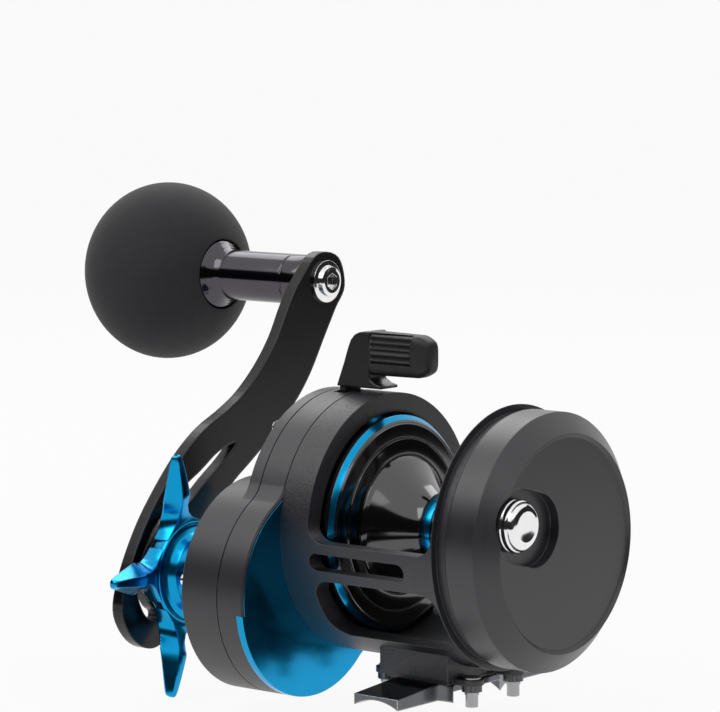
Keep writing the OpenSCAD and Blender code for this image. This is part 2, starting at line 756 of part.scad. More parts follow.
// A round wire coil along X, as one swept tube.
module coil_x(r, wire, x0, x1, turns) {
    steps = 14;
    sides = 6;
    rings = turns * steps;
    points = [for (i = [0 : rings], k = [0 : sides - 1])
        let (a = 360 * i / steps, b = 360 * k / sides, rr = r + wire * cos(b))
        [x0 + wire + (x1 - x0 - 2 * wire) * i / rings + wire * sin(b), rr * cos(a), rr * sin(a)]];
    walls = [for (i = [0 : rings - 1], k = [0 : sides - 1])
        let (n = (k + 1) % sides)
        [i * sides + k, i * sides + n, (i + 1) * sides + n, (i + 1) * sides + k]];
    ends = [[for (k = [sides - 1 : -1 : 0]) k], [for (k = [0 : sides - 1]) rings * sides + k]];
    polyhedron(points, concat(walls, ends));
}

// The ring that turns with the lever, with a flat tongue up to the lever's neck.
module clutch_cam() color([0.6, 0.6, 0.62]) at_spool() {
    cam_r = 9.6;
    cam_bore = 6.2;
    tongue_w = lever_w - 0.6;
    difference() {
        union() {
            rod_x(cam_r, cam_x - cam_t, cam_x);
            translate([cam_x - cam_t, -tongue_w / 2, 7]) cube([cam_t, tongue_w, 15]);
        }
        rod_x(cam_bore, cam_x - 3, cam_x + 1);
    }
}

// The lever arm: a neck through the housing and a tapered blade above the rim.
module clutch_lever() color([0.12, 0.12, 0.13]) at_spool() {
    neck_x = cam_x - cam_t;
    sole_z = ring_r + gap + 0.3;
    blade_x = housing_x + 1.6;
    root_x = ring_back_x + 2.8;
    half = lever_w / 2;
    translate([neck_x - lever_t, -half + 0.3, 17]) cube([lever_t, lever_w - 0.6, sole_z - 16.5]);
    translate([0, half, 0]) rotate([90, 0, 0]) linear_extrude(lever_w) union() {
        polygon([[blade_x, sole_z], [blade_x + 5.2, lever_tip_z - 3.4], [blade_x + 6.2, lever_tip_z - 1.2],
                 [blade_x + 8.2, lever_tip_z], [root_x, lever_tip_z], [root_x, sole_z + 1.6],
                 [root_x + 5.6, sole_z + 1.2], [root_x + 5.6, sole_z]]);
    }
    translate([root_x - 0.1, -1.4, lever_tip_z - grip_h / 2 - 2.2]) cube([grip_l - 2.4, 2.8, 4]);
}

// The ribbed rubber grip moulded over the lever's stub.
module lever_grip() color([0.07, 0.07, 0.08]) at_spool() {
    root_x = ring_back_x + 2.8;
    low_z = lever_tip_z - grip_h;
    round_r = 1.6;
    rib_pitch = (grip_h - 3.2) / ribs;
    difference() {
        union() {
            plate_yz(root_x, root_x + grip_l - 1.4) grip_outline(0, low_z, round_r);
            plate_yz(root_x + grip_l - 1.5, root_x + grip_l) grip_outline(0.9, low_z, round_r);
        }
        translate([root_x - 0.2, -1.4, lever_tip_z - grip_h / 2 - 2.2]) cube([grip_l - 2.3, 2.8, 4]);
        for (i = [0 : ribs - 1])
            translate([root_x + 1.8, -grip_t / 2 - 1, low_z + 2.2 + i * rib_pitch])
                cube([grip_l - 5, 1.6, rib_pitch * 0.45]);
    }
}

module grip_outline(inset, low_z, round_r) {
    half = grip_t / 2 - inset;
    for (y = [-half + round_r, half - round_r], z = [low_z + inset + round_r, lever_tip_z - inset - round_r])
        translate([y, z]) circle(r = round_r);
    translate([-half + round_r, low_z + inset]) square([2 * (half - round_r), grip_h - 2 * inset]);
    translate([-half, low_z + inset + round_r]) square([2 * half, grip_h - 2 * (inset + round_r)]);
}

// ---------------------------------------------------------- drive shaft

module drive_shaft() color([0.72, 0.72, 0.74]) at_drive()
    turned([[0, gear_plate_x + 0.3], [3, gear_plate_x + 0.3], [3, ratchet_x + ratchet_t + 0.5],
            [7, ratchet_x + ratchet_t + 0.5], [7, ratchet_x + ratchet_t], [drive_r, ratchet_x + ratchet_t],
            [drive_r, shaft_tip_x], [0, shaft_tip_x]]);

module drive_gear() color([0.8, 0.68, 0.35]) at_drive() {
    web_r = pitch_drive - 3.2;
    difference() {
        plate_yz(gear_x, gear_x + gear_w) rotate(drive_turn)
            polygon(gear_outline(drive_teeth, pitch_drive - dedendum, pitch_drive + addendum));
        rod_x(drive_r + run_fit, gear_x - 1, gear_x + gear_w + 1);
        rod_x(drag_r + gap, gear_x - 1, gear_x + 1.2);
        around_x(6, (web_r + drive_r) / 2 + 1, 15) rod_x(2.2, gear_x - 1, gear_x + gear_w + 1);
    }
}

// Sawtooth wheel whose steep sides meet the pawl when the crank is turned back.
module ratchet() color([0.6, 0.6, 0.62]) at_drive() difference() {
    pitch = 360 / ratchet_teeth;
    plate_yz(ratchet_x, ratchet_x + ratchet_t) rotate(pawl_turn + 31)
        polygon([for (i = [0 : ratchet_teeth - 1], k = [0 : 1])
            (k == 0 ? ratchet_r - 2.2 : ratchet_r) * [cos(i * pitch - (1 - k) * 3), sin(i * pitch - (1 - k) * 3)]]);
    rod_x(drive_r + run_fit, ratchet_x - 1, ratchet_x + ratchet_t + 1);
}

// Puts the pawl's pivot inside the case, beside the ratchet.
module at_pawl() {
    at_drive() rotate([pawl_turn, 0, 0]) translate([0, pawl_d, 0]) children();
}

module pawl_pin() color([0.7, 0.7, 0.72]) at_pawl() rod_x(1.2, ratchet_x - 0.2, gear_plate_x);

// The pawl rests clear of the ratchet and swings in against a tooth.
module anti_reverse_pawl() color([0.6, 0.6, 0.62]) at_pawl() difference() {
    plate_yz(ratchet_x, ratchet_x + ratchet_t) union() {
        circle(r = 2.6);
        polygon([[1.43, 1.67], [-6.37, 7.05], [-7.15, 6.14], [-1.6, -1.2]]);
    }
    rod_x(1.2 + run_fit, ratchet_x - 1, ratchet_x + ratchet_t + 1);
}

// Friction discs of the drag, with the metal discs between them.
module drag_washers() color([0.1, 0.1, 0.1]) at_drive() for (i = [0 : 2])
    tube_x(drag_r, drive_r + 2, gear_x + 1.2 - (2 * i + 1) * drag_w, gear_x + 1.2 - 2 * i * drag_w);

module drag_plates() color([0.7, 0.7, 0.72]) at_drive() for (i = [0 : 2])
    tube_x(drag_r, drive_r + run_fit, gear_x + 1.2 - (2 * i + 2) * drag_w, gear_x + 1.2 - (2 * i + 1) * drag_w);

module shaft_bearing() color([0.75, 0.75, 0.78]) at_drive()
    bearing(boss_x + 1, 4.6, drive_r + run_fit, roller_r);

// Cupped spring washers that the star presses on.
module spring_washers() color([0.7, 0.7, 0.72]) at_drive() {
    bowl = 0.9;
    pitch = 1.7;
    start_x = boss_x - 1.4;
    for (i = [0 : 3]) {
        flip = (i % 2 == 0) ? 1 : -1;
        x = start_x - i * pitch;
        turned([[drive_r + 0.2, x - flip * bowl / 2], [8.4, x + flip * bowl / 2],
                [8.4, x + flip * bowl / 2 - 0.7], [drive_r + 0.2, x - flip * bowl / 2 - 0.7]]);
    }
}

// The star wheel: a hollow neck, a disc and five spear-shaped arms.
module star_drag() color([0.02, 0.4, 0.75]) at_drive() {
    neck_end_x = lobe_x - gap;
    cavity_end_x = star_x + 3;
    difference() {
        union() {
            turned([[0, star_back_x + 0.6], [neck_r - 2, star_back_x + 0.6], [neck_r + 1, star_x - 1.6],
                    [neck_r, star_x + 0.4], [neck_r, neck_end_x - 0.5], [neck_r - 0.5, neck_end_x], [0, neck_end_x]]);
            for (i = [0 : 4]) rotate([90 + i * 72, 0, 0]) star_arm();
        }
        rod_x(9.5, cavity_end_x, neck_end_x + 1);
        rod_x(drive_r + run_fit, star_back_x - 1, neck_end_x);
    }
}

// One arm standing along Z: narrow at the root, widest past the middle.
module star_arm() hull() {
    for (s = [[neck_r - 3, 3.4, star_t], [star_r * 0.62, 4.6, star_t - 0.4], [star_r - 1.6, 2.4, star_t - 1.6]])
        translate([star_back_x + star_t / 2 - s[2] / 2, -s[1] / 2, s[0] - 0.8]) {
            translate([0, s[1] * 0.2, 0]) cube([s[2], s[1] * 0.6, 1.6]);
            translate([s[2] * 0.15, 0, 0]) cube([s[2] * 0.7, s[1], 1.6]);
        }
}

module shaft_spacer() color([0.3, 0.3, 0.32]) at_drive()
    tube_x(6.4, drive_r + run_fit, arm_x, star_back_x - gap);

// --------------------------------------------------------------- handle

// A closed smooth curve through a list of points.
function curve_point(a, b, c, d, t) = 0.5 * (2 * b + (c - a) * t + (2 * a - 5 * b + 4 * c - d) * t * t
    + (3 * b - a - 3 * c + d) * t * t * t);
function smooth(p, n) = [for (i = [0 : len(p) - 1], k = [0 : n - 1])
    curve_point(p[(i + len(p) - 1) % len(p)], p[i], p[(i + 1) % len(p)], p[(i + 2) % len(p)], k / n)];

// The arm lies along the line from the drive shaft to the knob spindle.
module handle_arm() color([0.13, 0.13, 0.14]) at_drive() {
    reach = handle_reach;
    tip = arm_w / 2 - 0.6;
    outline = [
        [-20.4, 0], [-17.6, 7.2], [-9.3, 11.4], [3, 14.2], [15, 14.8], [reach * 0.28, 14.2],
        [reach * 0.376, 12.2], [reach * 0.47, 8.6], [reach * 0.55, 6.2], [reach * 0.65, 5], [reach * 0.75, 5.3],
        [reach * 0.85, 7.2], [reach * 0.93, tip], [reach + 3.5, tip - 1], [reach + tip, 0],
        [reach + 4, -tip + 1], [reach * 0.97, -tip], [reach * 0.88, -9.2], [reach * 0.76, -11],
        [reach * 0.66, -11.1], [reach * 0.55, -9.9], [reach * 0.43, -7.4], [reach * 0.32, -5],
        [reach * 0.22, -5.2], [11, -7.6], [3, -10], [-6, -10.8], [-14.6, -10.2], [-19.2, -6.6]
    ];
    slot = [
        [reach * 0.425, 0.6], [reach * 0.36, 4.4], [reach * 0.28, 6.6], [reach * 0.18, 9.6], [5, 11], [-4, 10],
        [-10.6, 6.2], [-13.6, 0], [-12.4, -4], [-10.6, -3.4], [-10.6, 0], [-8, 6], [-1, 8.9], [7, 8.6],
        [reach * 0.18, 5], [reach * 0.28, 3], [reach * 0.36, 1.2]
    ];
    rotate([reach_angle, 0, 0]) difference() {
        plate_yz(nut_x, arm_x) polygon(smooth(outline, 5));
        plate_yz(nut_x - 1, arm_x + 1) polygon(smooth(slot, 4));
        rod_x(drive_r + run_fit, nut_x - 1, arm_x + 1);
        translate([0, reach, 0]) rod_x(spindle_r + hole_fit, nut_x - 1, arm_x + 1);
    }
}

module handle_nut() color([0.15, 0.15, 0.16]) at_drive() difference() {
    plate_yz(nut_x - nut_len, nut_x) circle(r = 7, $fn = 6);
    rod_x(drive_r + hole_fit, nut_x - nut_len - 1, nut_x + 1);
}

module nut_cap() color([0.7, 0.7, 0.72]) at_drive()
    turned([[0, nut_x - nut_len - cap_len], [2.4, nut_x - nut_len - cap_len],
            [4.3, nut_x - nut_len - cap_len + 1.6], [4.3, nut_x - nut_len], [0, nut_x - nut_len]]);

// ----------------------------------------------------------------- knob

module knob_spindle() color([0.72, 0.72, 0.74]) at_pivot()
    turned([[0, knob_x - 8], [spindle_r, knob_x - 8], [spindle_r, arm_x - 0.5], [0, arm_x - 0.5]]);

module arm_washer() color([0.06, 0.06, 0.06]) at_pivot()
    tube_x(sleeve_r - 0.2, spindle_r + hole_fit, nut_x - 1, nut_x);

module knob_screw() color([0.8, 0.8, 0.82]) at_pivot() difference() {
    turned([[0, arm_x], [5.4, arm_x], [5.4, arm_x + 0.7], [4.1, arm_x + 0.9], [3.8, arm_x + 2],
            [3, arm_x + 2.3], [0, arm_x + 2.3]]);
    rotate([0, 90, 0]) translate([0, 0, arm_x + 0.8]) cylinder(r = 2.1, h = 3, $fn = 6);
}

module knob_bearings() color([0.78, 0.78, 0.8]) at_pivot() {
    bearing(nut_x - 5, 3, spindle_r + run_fit, sleeve_r - 1.2);
    bearing(knob_x - 6, 3, spindle_r + run_fit, sleeve_r - 1.2);
}

// The polished sleeve that turns with the knob and flares where it meets it.
module knob_sleeve() color([0.35, 0.35, 0.38]) at_pivot() difference() {
    flare_x = knob_x + knob_r * knob_oval - 2.4;
    turned([[0, knob_x - 9], [sleeve_r, knob_x - 9], [sleeve_r, flare_x - 2], [sleeve_r + 2.5, flare_x - 2],
            [sleeve_r + 2.5, flare_x], [sleeve_r + 2.3, flare_x + 0.5], [sleeve_r, flare_x + 4.6],
            [sleeve_r, nut_x - 1 - gap], [0, nut_x - 1 - gap]]);
    rod_x(sleeve_r - 1.2 + hole_fit, knob_x - 8.4, nut_x);
}

module knob() color([0.12, 0.12, 0.12]) at_pivot() {
    half_l = knob_r * knob_oval;
    flare_x = knob_x + half_l - 2.4;
    steps = 24;
    difference() {
        turned([for (i = [0 : steps]) let (a = 180 * i / steps)
            [max(0, knob_r * sin(a)), knob_x - half_l * cos(a)]]);
        rod_x(sleeve_r + hole_fit, knob_x - 9.1, knob_x + far);
        rod_x(sleeve_r + 2.5 + hole_fit, flare_x - 2.1, knob_x + far);
    }
}

frame();
left_side_plate();
plate_screws();
gear_plate();
gear_housing();
right_cover();
cover_screws();
reel_foot();
foot_screws();
clamp_plate();
clamp_studs();
clamp_nuts();
spool();
spool_shaft();
drive_pin();
left_spool_bearing();
right_spool_bearing();
click_gear();
click_button();
click_pawl();
tension_cap();
tension_spacer();
pinion();
clutch_yoke();
yoke_posts();
yoke_springs();
clutch_cam();
clutch_lever();
lever_grip();
drive_shaft();
drive_gear();
ratchet();
anti_reverse_pawl();
pawl_pin();
drag_washers();
drag_plates();
shaft_bearing();
spring_washers();
star_drag();
shaft_spacer();
handle_arm();
handle_nut();
nut_cap();
knob_spindle();
arm_washer();
knob_screw();
knob_bearings();
knob_sleeve();
knob();
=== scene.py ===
"""Looks of a star drag trolling reel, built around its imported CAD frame."""

import math

import bpy
from bpy.props import FloatProperty, FloatVectorProperty, IntProperty, PointerProperty
from mathutils import Matrix, Vector


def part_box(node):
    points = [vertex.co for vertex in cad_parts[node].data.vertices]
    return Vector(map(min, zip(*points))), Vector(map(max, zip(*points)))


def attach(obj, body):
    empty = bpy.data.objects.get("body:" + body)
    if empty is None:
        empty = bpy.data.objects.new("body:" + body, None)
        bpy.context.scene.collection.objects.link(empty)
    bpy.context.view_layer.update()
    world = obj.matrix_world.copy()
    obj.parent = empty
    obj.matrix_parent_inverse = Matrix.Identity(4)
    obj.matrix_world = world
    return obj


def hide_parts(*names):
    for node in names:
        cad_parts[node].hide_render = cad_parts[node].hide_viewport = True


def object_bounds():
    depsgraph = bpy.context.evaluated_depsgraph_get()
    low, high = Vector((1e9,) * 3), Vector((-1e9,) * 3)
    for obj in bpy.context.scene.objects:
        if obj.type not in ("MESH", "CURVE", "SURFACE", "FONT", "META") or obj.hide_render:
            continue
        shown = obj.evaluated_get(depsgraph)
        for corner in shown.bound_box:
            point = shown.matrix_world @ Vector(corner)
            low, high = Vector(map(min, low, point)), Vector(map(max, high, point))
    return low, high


bl_info = {
    "name": "Trolling Reel Looks",
    "version": (1, 0, 0),
    "blender": (4, 5, 0),
    "location": "View3D > Sidebar > Reel",
    "description": "Builds the visible pieces, finishes and studio of a trolling reel",
    "category": "Object",
}

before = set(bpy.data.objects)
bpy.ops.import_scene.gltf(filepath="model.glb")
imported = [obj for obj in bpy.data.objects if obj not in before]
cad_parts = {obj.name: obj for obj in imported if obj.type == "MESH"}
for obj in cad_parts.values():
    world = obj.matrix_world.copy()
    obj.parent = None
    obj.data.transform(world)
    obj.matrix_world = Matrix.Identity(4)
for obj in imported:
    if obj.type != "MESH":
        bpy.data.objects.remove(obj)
CAD_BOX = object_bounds()
MM = 0.001
# Where the camera and the lights point, in the CAD frame.
CAMERA_AIM = (-0.0280, 0.0008, 0.0753)


def centre(node):
    low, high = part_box(node)
    return tuple((low[i] + high[i]) / 2 for i in range(3))


# The three axes that run along X, as (Y, Z), and the rim of the spool's right flange.
SPOOL_AXIS = centre("spool")[1:]
DRIVE_AXIS = centre("shaft_bearing")[1:]
KNOB_AXIS = centre("knob_spindle")[1:]
RIM_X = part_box("spool")[0][0] + 5 * MM


def station(mm):
    """X of a station counted in millimetres from the rim of the spool's right flange."""
    return RIM_X + mm * MM


# ---------------------------------------------------------------- settings


class ReelFinishes(bpy.types.PropertyGroup):
    casting_color: FloatVectorProperty(
        name="Casting", description="Colour of the frame, the plates and the gear case",
        subtype="COLOR", size=3, min=0, max=1, default=(0.0150, 0.0128, 0.0178))
    blue_color: FloatVectorProperty(
        name="Blue", description="Colour of the anodised star, gear plate and bands",
        subtype="COLOR", size=3, min=0, max=1, default=(0.0006, 0.31, 0.62))
    spool_color: FloatVectorProperty(
        name="Spool", description="Colour of the glossy spool",
        subtype="COLOR", size=3, min=0, max=1, default=(0.0022, 0.0023, 0.0027))
    foam_color: FloatVectorProperty(
        name="Foam", description="Colour of the knob's foam",
        subtype="COLOR", size=3, min=0, max=1, default=(0.026, 0.0245, 0.028))
    arm_color: FloatVectorProperty(
        name="Arm", description="Colour of the handle arm",
        subtype="COLOR", size=3, min=0, max=1, default=(0.0028, 0.0025, 0.0036))
    chrome_color: FloatVectorProperty(
        name="Chrome", description="Colour of the polished button and screws",
        subtype="COLOR", size=3, min=0, max=1, default=(0.88, 0.87, 0.88))
    casting_rough: FloatProperty(
        name="Casting roughness", description="Roughness of the satin castings",
        subtype="FACTOR", min=0, max=1, default=0.42)
    blue_rough: FloatProperty(
        name="Blue roughness", description="Roughness of the blue anodised pieces",
        subtype="FACTOR", min=0, max=1, default=0.20)


class ReelDetails(bpy.types.PropertyGroup):
    segments: IntProperty(
        name="Segments", description="Steps round each turned piece", min=32, max=512, default=192)
    casting_grain: FloatProperty(
        name="Casting grain", description="Size of the blasted grain on the castings",
        subtype="DISTANCE", unit="LENGTH", min=0.00005, max=0.002, default=0.00022)
    foam_grain: FloatProperty(
        name="Foam grain", description="Size of the cells of the knob's foam",
        subtype="DISTANCE", unit="LENGTH", min=0.0001, max=0.002, default=0.00034)
    edge_round: FloatProperty(
        name="Edge rounding", description="Rounding of machined edges",
        subtype="DISTANCE", unit="LENGTH", min=0.0001, max=0.001, default=0.00035)


class ReelStudio(bpy.types.PropertyGroup):
    azimuth: FloatProperty(
        name="Azimuth", description="Angle of the camera round the reel from the front",
        subtype="ANGLE", default=math.radians(39.29))
    elevation: FloatProperty(
        name="Elevation", description="Height of the camera as an angle",
        subtype="ANGLE", default=math.radians(6.24))
    roll: FloatProperty(
        name="Roll", description="Turn of the camera about its own axis",
        subtype="ANGLE", default=math.radians(-0.124))
    distance: FloatProperty(
        name="Distance", description="Distance from the camera to its aim",
        subtype="DISTANCE", unit="LENGTH", default=0.8345)
    lens: FloatProperty(name="Lens", description="Focal length in millimetres", default=174.7)
    key_power: FloatProperty(
        name="Key", description="Power of the large soft light", unit="POWER", default=3.6)
    fill_power: FloatProperty(
        name="Fill", description="Power of the fill light", unit="POWER", default=1.1)
    back_power: FloatProperty(
        name="Back", description="Power of the light behind", unit="POWER", default=3.0)


# --------------------------------------------------------- shader expressions


class Sock:
    """A socket in a material, so that shader maths reads as an expression."""

    def __init__(self, sheet, out):
        self.sheet = sheet
        self.out = out

    def _math(self, operation, *values):
        return self.sheet.node("ShaderNodeMath", {"operation": operation}, dict(enumerate(values)))

    def __add__(self, other):
        return self._math("ADD", self, other)

    def __sub__(self, other):
        return self._math("SUBTRACT", self, other)

    def __rsub__(self, other):
        return self._math("SUBTRACT", other, self)

    def __mul__(self, other):
        return self._math("MULTIPLY", self, other)

    def __truediv__(self, other):
        return self._math("DIVIDE", self, other)

    def __pow__(self, other):
        return self._math("POWER", self, other)

    __radd__ = __add__
    __rmul__ = __mul__

    def clamp(self):
        return self.sheet.node(
            "ShaderNodeMapRange", {"clamp": True}, {0: self, 1: 0.0, 2: 1.0, 3: 0.0, 4: 1.0})

    def step(self, low, high):
        """0 below low and 1 above high, with a soft step between."""
        return self.sheet.node(
            "ShaderNodeMapRange", {"interpolation_type": "SMOOTHSTEP"},
            {0: self, 1: low, 2: high, 3: 0.0, 4: 1.0})


class Sheet:
    """One material's nodes."""

    def __init__(self, name):
        self.material = bpy.data.materials.new(name)
        self.material.use_nodes = True
        self.tree = self.material.node_tree
        self.shader = self.tree.nodes["Principled BSDF"]

    def node(self, kind, settings=None, inputs=None, output=0):
        made = self.tree.nodes.new(kind)
        for key, value in (settings or {}).items():
            if key == "stops":
                ramp = made.color_ramp
                while len(ramp.elements) < len(value):
                    ramp.elements.new(0.5)
                for element, (place, color) in zip(ramp.elements, value):
                    element.position = place
                    element.color = color
            else:
                setattr(made, key, value)
        for key, value in (inputs or {}).items():
            self.feed(made.inputs[key], value)
        return Sock(self, made.outputs[output])

    def feed(self, socket, value):
        if isinstance(value, Sock):
            self.tree.links.new(value.out, socket)
        else:
            socket.default_value = value

    def place(self):
        """The point on the object, in the reel's own frame."""
        return self.node("ShaderNodeTexCoord", output=3)

    def split(self, vector):
        parts = self.node("ShaderNodeSeparateXYZ", None, {0: vector})
        outs = parts.out.node.outputs
        return Sock(self, outs[0]), Sock(self, outs[1]), Sock(self, outs[2])

    def noise(self, vector, size, detail=2.0, rough=0.5):
        return self.node(
            "ShaderNodeTexNoise", None,
            {"Vector": vector, "Scale": 1.0 / size, "Detail": detail, "Roughness": rough})

    def cells(self, vector, size):
        return self.node("ShaderNodeTexVoronoi", None, {"Vector": vector, "Scale": 1.0 / size})

    def radius(self, vector, axis):
        """Distance from an axis that runs along X."""
        _, y, z = self.split(vector)
        dy = y - axis[0]
        dz = z - axis[1]
        return (dy * dy + dz * dz) ** 0.5

    def mix(self, factor, one, two):
        made = self.tree.nodes.new("ShaderNodeMix")
        made.data_type = "RGBA"
        for socket, value in ((made.inputs[0], factor), (made.inputs[6], one), (made.inputs[7], two)):
            self.feed(socket, value)
        return Sock(self, made.outputs[2])

    def edges(self, size):
        """(normal rounded over the edges, mask that is 1 on an outer or inner edge)."""
        soft = self.node("ShaderNodeBevel", {"samples": 4}, {"Radius": size})
        flat = self.node("ShaderNodeNewGeometry", output=1)
        along = self.node(
            "ShaderNodeVectorMath", {"operation": "DOT_PRODUCT"}, {0: soft, 1: flat}, output=1)
        return soft, ((1.0 - along) * 6.0).clamp()

    def bump(self, height, distance, strength=1.0, normal=None):
        inputs = {"Height": height, "Distance": distance, "Strength": strength}
        if normal is not None:
            inputs["Normal"] = normal
        return self.node("ShaderNodeBump", None, inputs)

    def finish(self, **values):
        for key, value in values.items():
            self.feed(self.shader.inputs[key.replace("_", " ")], value)
        return self.material


def rgba(color, scale=1.0):
    return (color[0] * scale, color[1] * scale, color[2] * scale, 1.0)


MADE = {}


def finish(name, maker):
    """Each finish is made once and shared by the pieces that wear it."""
    if name not in MADE:
        MADE[name] = maker(Sheet(name))
    return MADE[name]


def blasted_casting(sheet):
    """Satin black anodising over a fine blasted grain, with a painted highlight on its edges."""
    looks = bpy.context.scene.reel_finishes
    details = bpy.context.scene.reel_details
    place = sheet.place()
    grain = sheet.noise(place, details.casting_grain, 3.0, 0.6)
    cloud = sheet.noise(place, 0.014, 3.0)
    specks = sheet.noise(place, 0.0011, 2.0).step(0.62, 0.72)
    normal, edge = sheet.edges(details.edge_round)
    tone = sheet.mix((cloud * 0.7 + grain * 0.3).clamp(),
                     rgba(looks.casting_color, 0.78), rgba(looks.casting_color, 1.25))
    # Painted highlight: the colour is made paler along the edges found by the bevel mask.
    tone = sheet.mix(edge * 0.7, tone, rgba(looks.casting_color, 4.5))
    rough = looks.casting_rough + (cloud - 0.5) * 0.10 + (grain - 0.5) * 0.14
    rough = rough + specks * 0.04 - edge * 0.08
    return sheet.finish(
        Base_Color=tone, Roughness=rough, IOR=1.70,
        Normal=sheet.bump(grain, 0.00002, 0.35, normal))


def turned_casting(sheet):
    """The side plate's finish: the same anodising over fine rings left by the lathe."""
    looks = bpy.context.scene.reel_finishes
    details = bpy.context.scene.reel_details
    place = sheet.place()
    lines = turned_lines(sheet, place, SPOOL_AXIS, 0.00016)
    coarse = turned_lines(sheet, place, SPOOL_AXIS, 0.0011)
    grain = sheet.noise(place, details.casting_grain, 3.0, 0.6)
    cloud = sheet.noise(place, 0.016, 3.0)
    normal, edge = sheet.edges(details.edge_round)
    tone = sheet.mix((cloud * 0.5 + coarse * 0.5).clamp(),
                     rgba(looks.casting_color, 0.8), rgba(looks.casting_color, 1.2))
    # Painted highlight: the colour is made paler along the edges found by the bevel mask.
    tone = sheet.mix(edge * 0.7, tone, rgba(looks.casting_color, 4.5))
    rough = looks.casting_rough - 0.05 + (coarse - 0.5) * 0.14 + (grain - 0.5) * 0.10 - edge * 0.08
    return sheet.finish(
        Base_Color=tone, Roughness=rough, IOR=1.70,
        Normal=sheet.bump(lines * 0.7 + grain * 0.3, 0.00003, 0.6, normal))


def ring_casting(sheet):
    """The frame's finish: the same anodising over a coarser cast pebble, with painted shade in its bore."""
    looks = bpy.context.scene.reel_finishes
    details = bpy.context.scene.reel_details
    place = sheet.place()
    pebble = sheet.cells(place, 0.00075)
    pits = sheet.noise(place, 0.0012, 4.0, 0.7).step(0.56, 0.68)
    # Painted shade: inside the bore's radius the colour is darkened as if shadowed there, and made rougher.
    bore_shade = 1.0 - sheet.radius(place, SPOOL_AXIS).step(0.0268, 0.0274)
    grain = sheet.noise(place, details.casting_grain, 3.0, 0.6)
    cloud = sheet.noise(place, 0.012, 3.0)
    normal, edge = sheet.edges(details.edge_round)
    tone = sheet.mix((cloud * 0.6 + pebble * 0.4).clamp(),
                     rgba(looks.casting_color, 0.7), rgba(looks.casting_color, 1.25))
    tone = sheet.mix(pits * 0.45, tone, rgba(looks.casting_color, 0.35))
    # Painted highlight: the colour is made paler along the edges found by the bevel mask.
    tone = sheet.mix(edge * 0.7, tone, rgba(looks.casting_color, 4.5))
    # Painted shade: the bore is darkened to stand in for the shadow that falls inside it.
    tone = sheet.mix(bore_shade * 0.8, tone, rgba(looks.casting_color, 0.12))
    rough = looks.casting_rough + 0.03 + (pebble - 0.5) * 0.12 + (grain - 0.5) * 0.12
    rough = rough - edge * 0.08 + bore_shade * 0.2
    return sheet.finish(
        Base_Color=tone, Roughness=rough, IOR=1.70,
        Normal=sheet.bump(pebble * 0.5 + grain * 0.3 - pits * 0.6, 0.00009, 0.5, normal))


def turned_lines(sheet, place, axis, pitch):
    """Fine concentric tool marks about an axis along X."""
    ring = sheet.radius(place, axis)
    x, _, _ = sheet.split(place)
    path = sheet.node("ShaderNodeCombineXYZ", None, {0: ring, 1: x, 2: 0.0})
    return sheet.noise(path, pitch, 2.0, 0.7)


def blue_anodised(axis):
    def maker(sheet):
        looks = bpy.context.scene.reel_finishes
        details = bpy.context.scene.reel_details
        place = sheet.place()
        lines = turned_lines(sheet, place, axis, 0.0002)
        cloud = sheet.noise(place, 0.008, 2.0)
        dust = sheet.noise(place, 0.0004, 2.0).step(0.66, 0.72)
        normal, edge = sheet.edges(details.edge_round)
        tone = sheet.mix((cloud * 0.6 + lines * 0.4).clamp(),
                         rgba(looks.blue_color, 0.85), rgba(looks.blue_color, 1.15))
        # Painted highlight: the colour is lifted to a pale cyan along the edges.
        tone = sheet.mix(edge * 0.5, tone, (0.06, 0.56, 0.86, 1.0))
        rough = looks.blue_rough + (lines - 0.5) * 0.10 + (cloud - 0.5) * 0.06 + dust * 0.05
        return sheet.finish(
            Base_Color=tone, Roughness=rough, Metallic=1.0, Coat_Weight=0.15, Coat_Roughness=0.08,
            Normal=sheet.bump(lines, 0.000006, 0.3, normal))
    return maker


def spool_black(sheet):
    """Gloss black anodising with turned rings that show in the highlights."""
    looks = bpy.context.scene.reel_finishes
    place = sheet.place()
    lines = turned_lines(sheet, place, SPOOL_AXIS, 0.00025)
    cloud = sheet.noise(place, 0.010, 2.0)
    tone = sheet.mix(lines, rgba(looks.spool_color, 0.7), rgba(looks.spool_color, 1.6))
    rough = 0.11 + (lines - 0.5) * 0.08 + (cloud - 0.5) * 0.04
    return sheet.finish(
        Base_Color=tone, Roughness=rough, IOR=1.9, Normal=sheet.bump(lines, 0.000006, 0.3))


def foam(sheet):
    """Dense closed-cell foam: matte, mottled, with open cells on the skin."""
    looks = bpy.context.scene.reel_finishes
    details = bpy.context.scene.reel_details
    place = sheet.place()
    fine = sheet.noise(place, details.foam_grain, 4.0, 0.65)
    cells = sheet.cells(place, details.foam_grain * 1.6)
    mottle = sheet.noise(place, 0.0022, 3.0)
    patch = sheet.noise(place, 0.018, 2.0)
    pores = 1.0 - cells.step(0.05, 0.32)
    tone = sheet.mix((mottle * 0.45 + fine * 0.55).clamp(),
                     rgba(looks.foam_color, 0.62), rgba(looks.foam_color, 1.5))
    tone = sheet.mix(pores * 0.35, tone, rgba(looks.foam_color, 0.3))
    rough = 0.82 + (patch - 0.5) * 0.10 + (fine - 0.5) * 0.10
    return sheet.finish(
        Base_Color=tone, Roughness=rough, Sheen_Weight=0.12, Sheen_Roughness=0.5,
        Normal=sheet.bump(fine * 0.6 + mottle * 0.4 - pores * 0.5, 0.00014, 0.55))


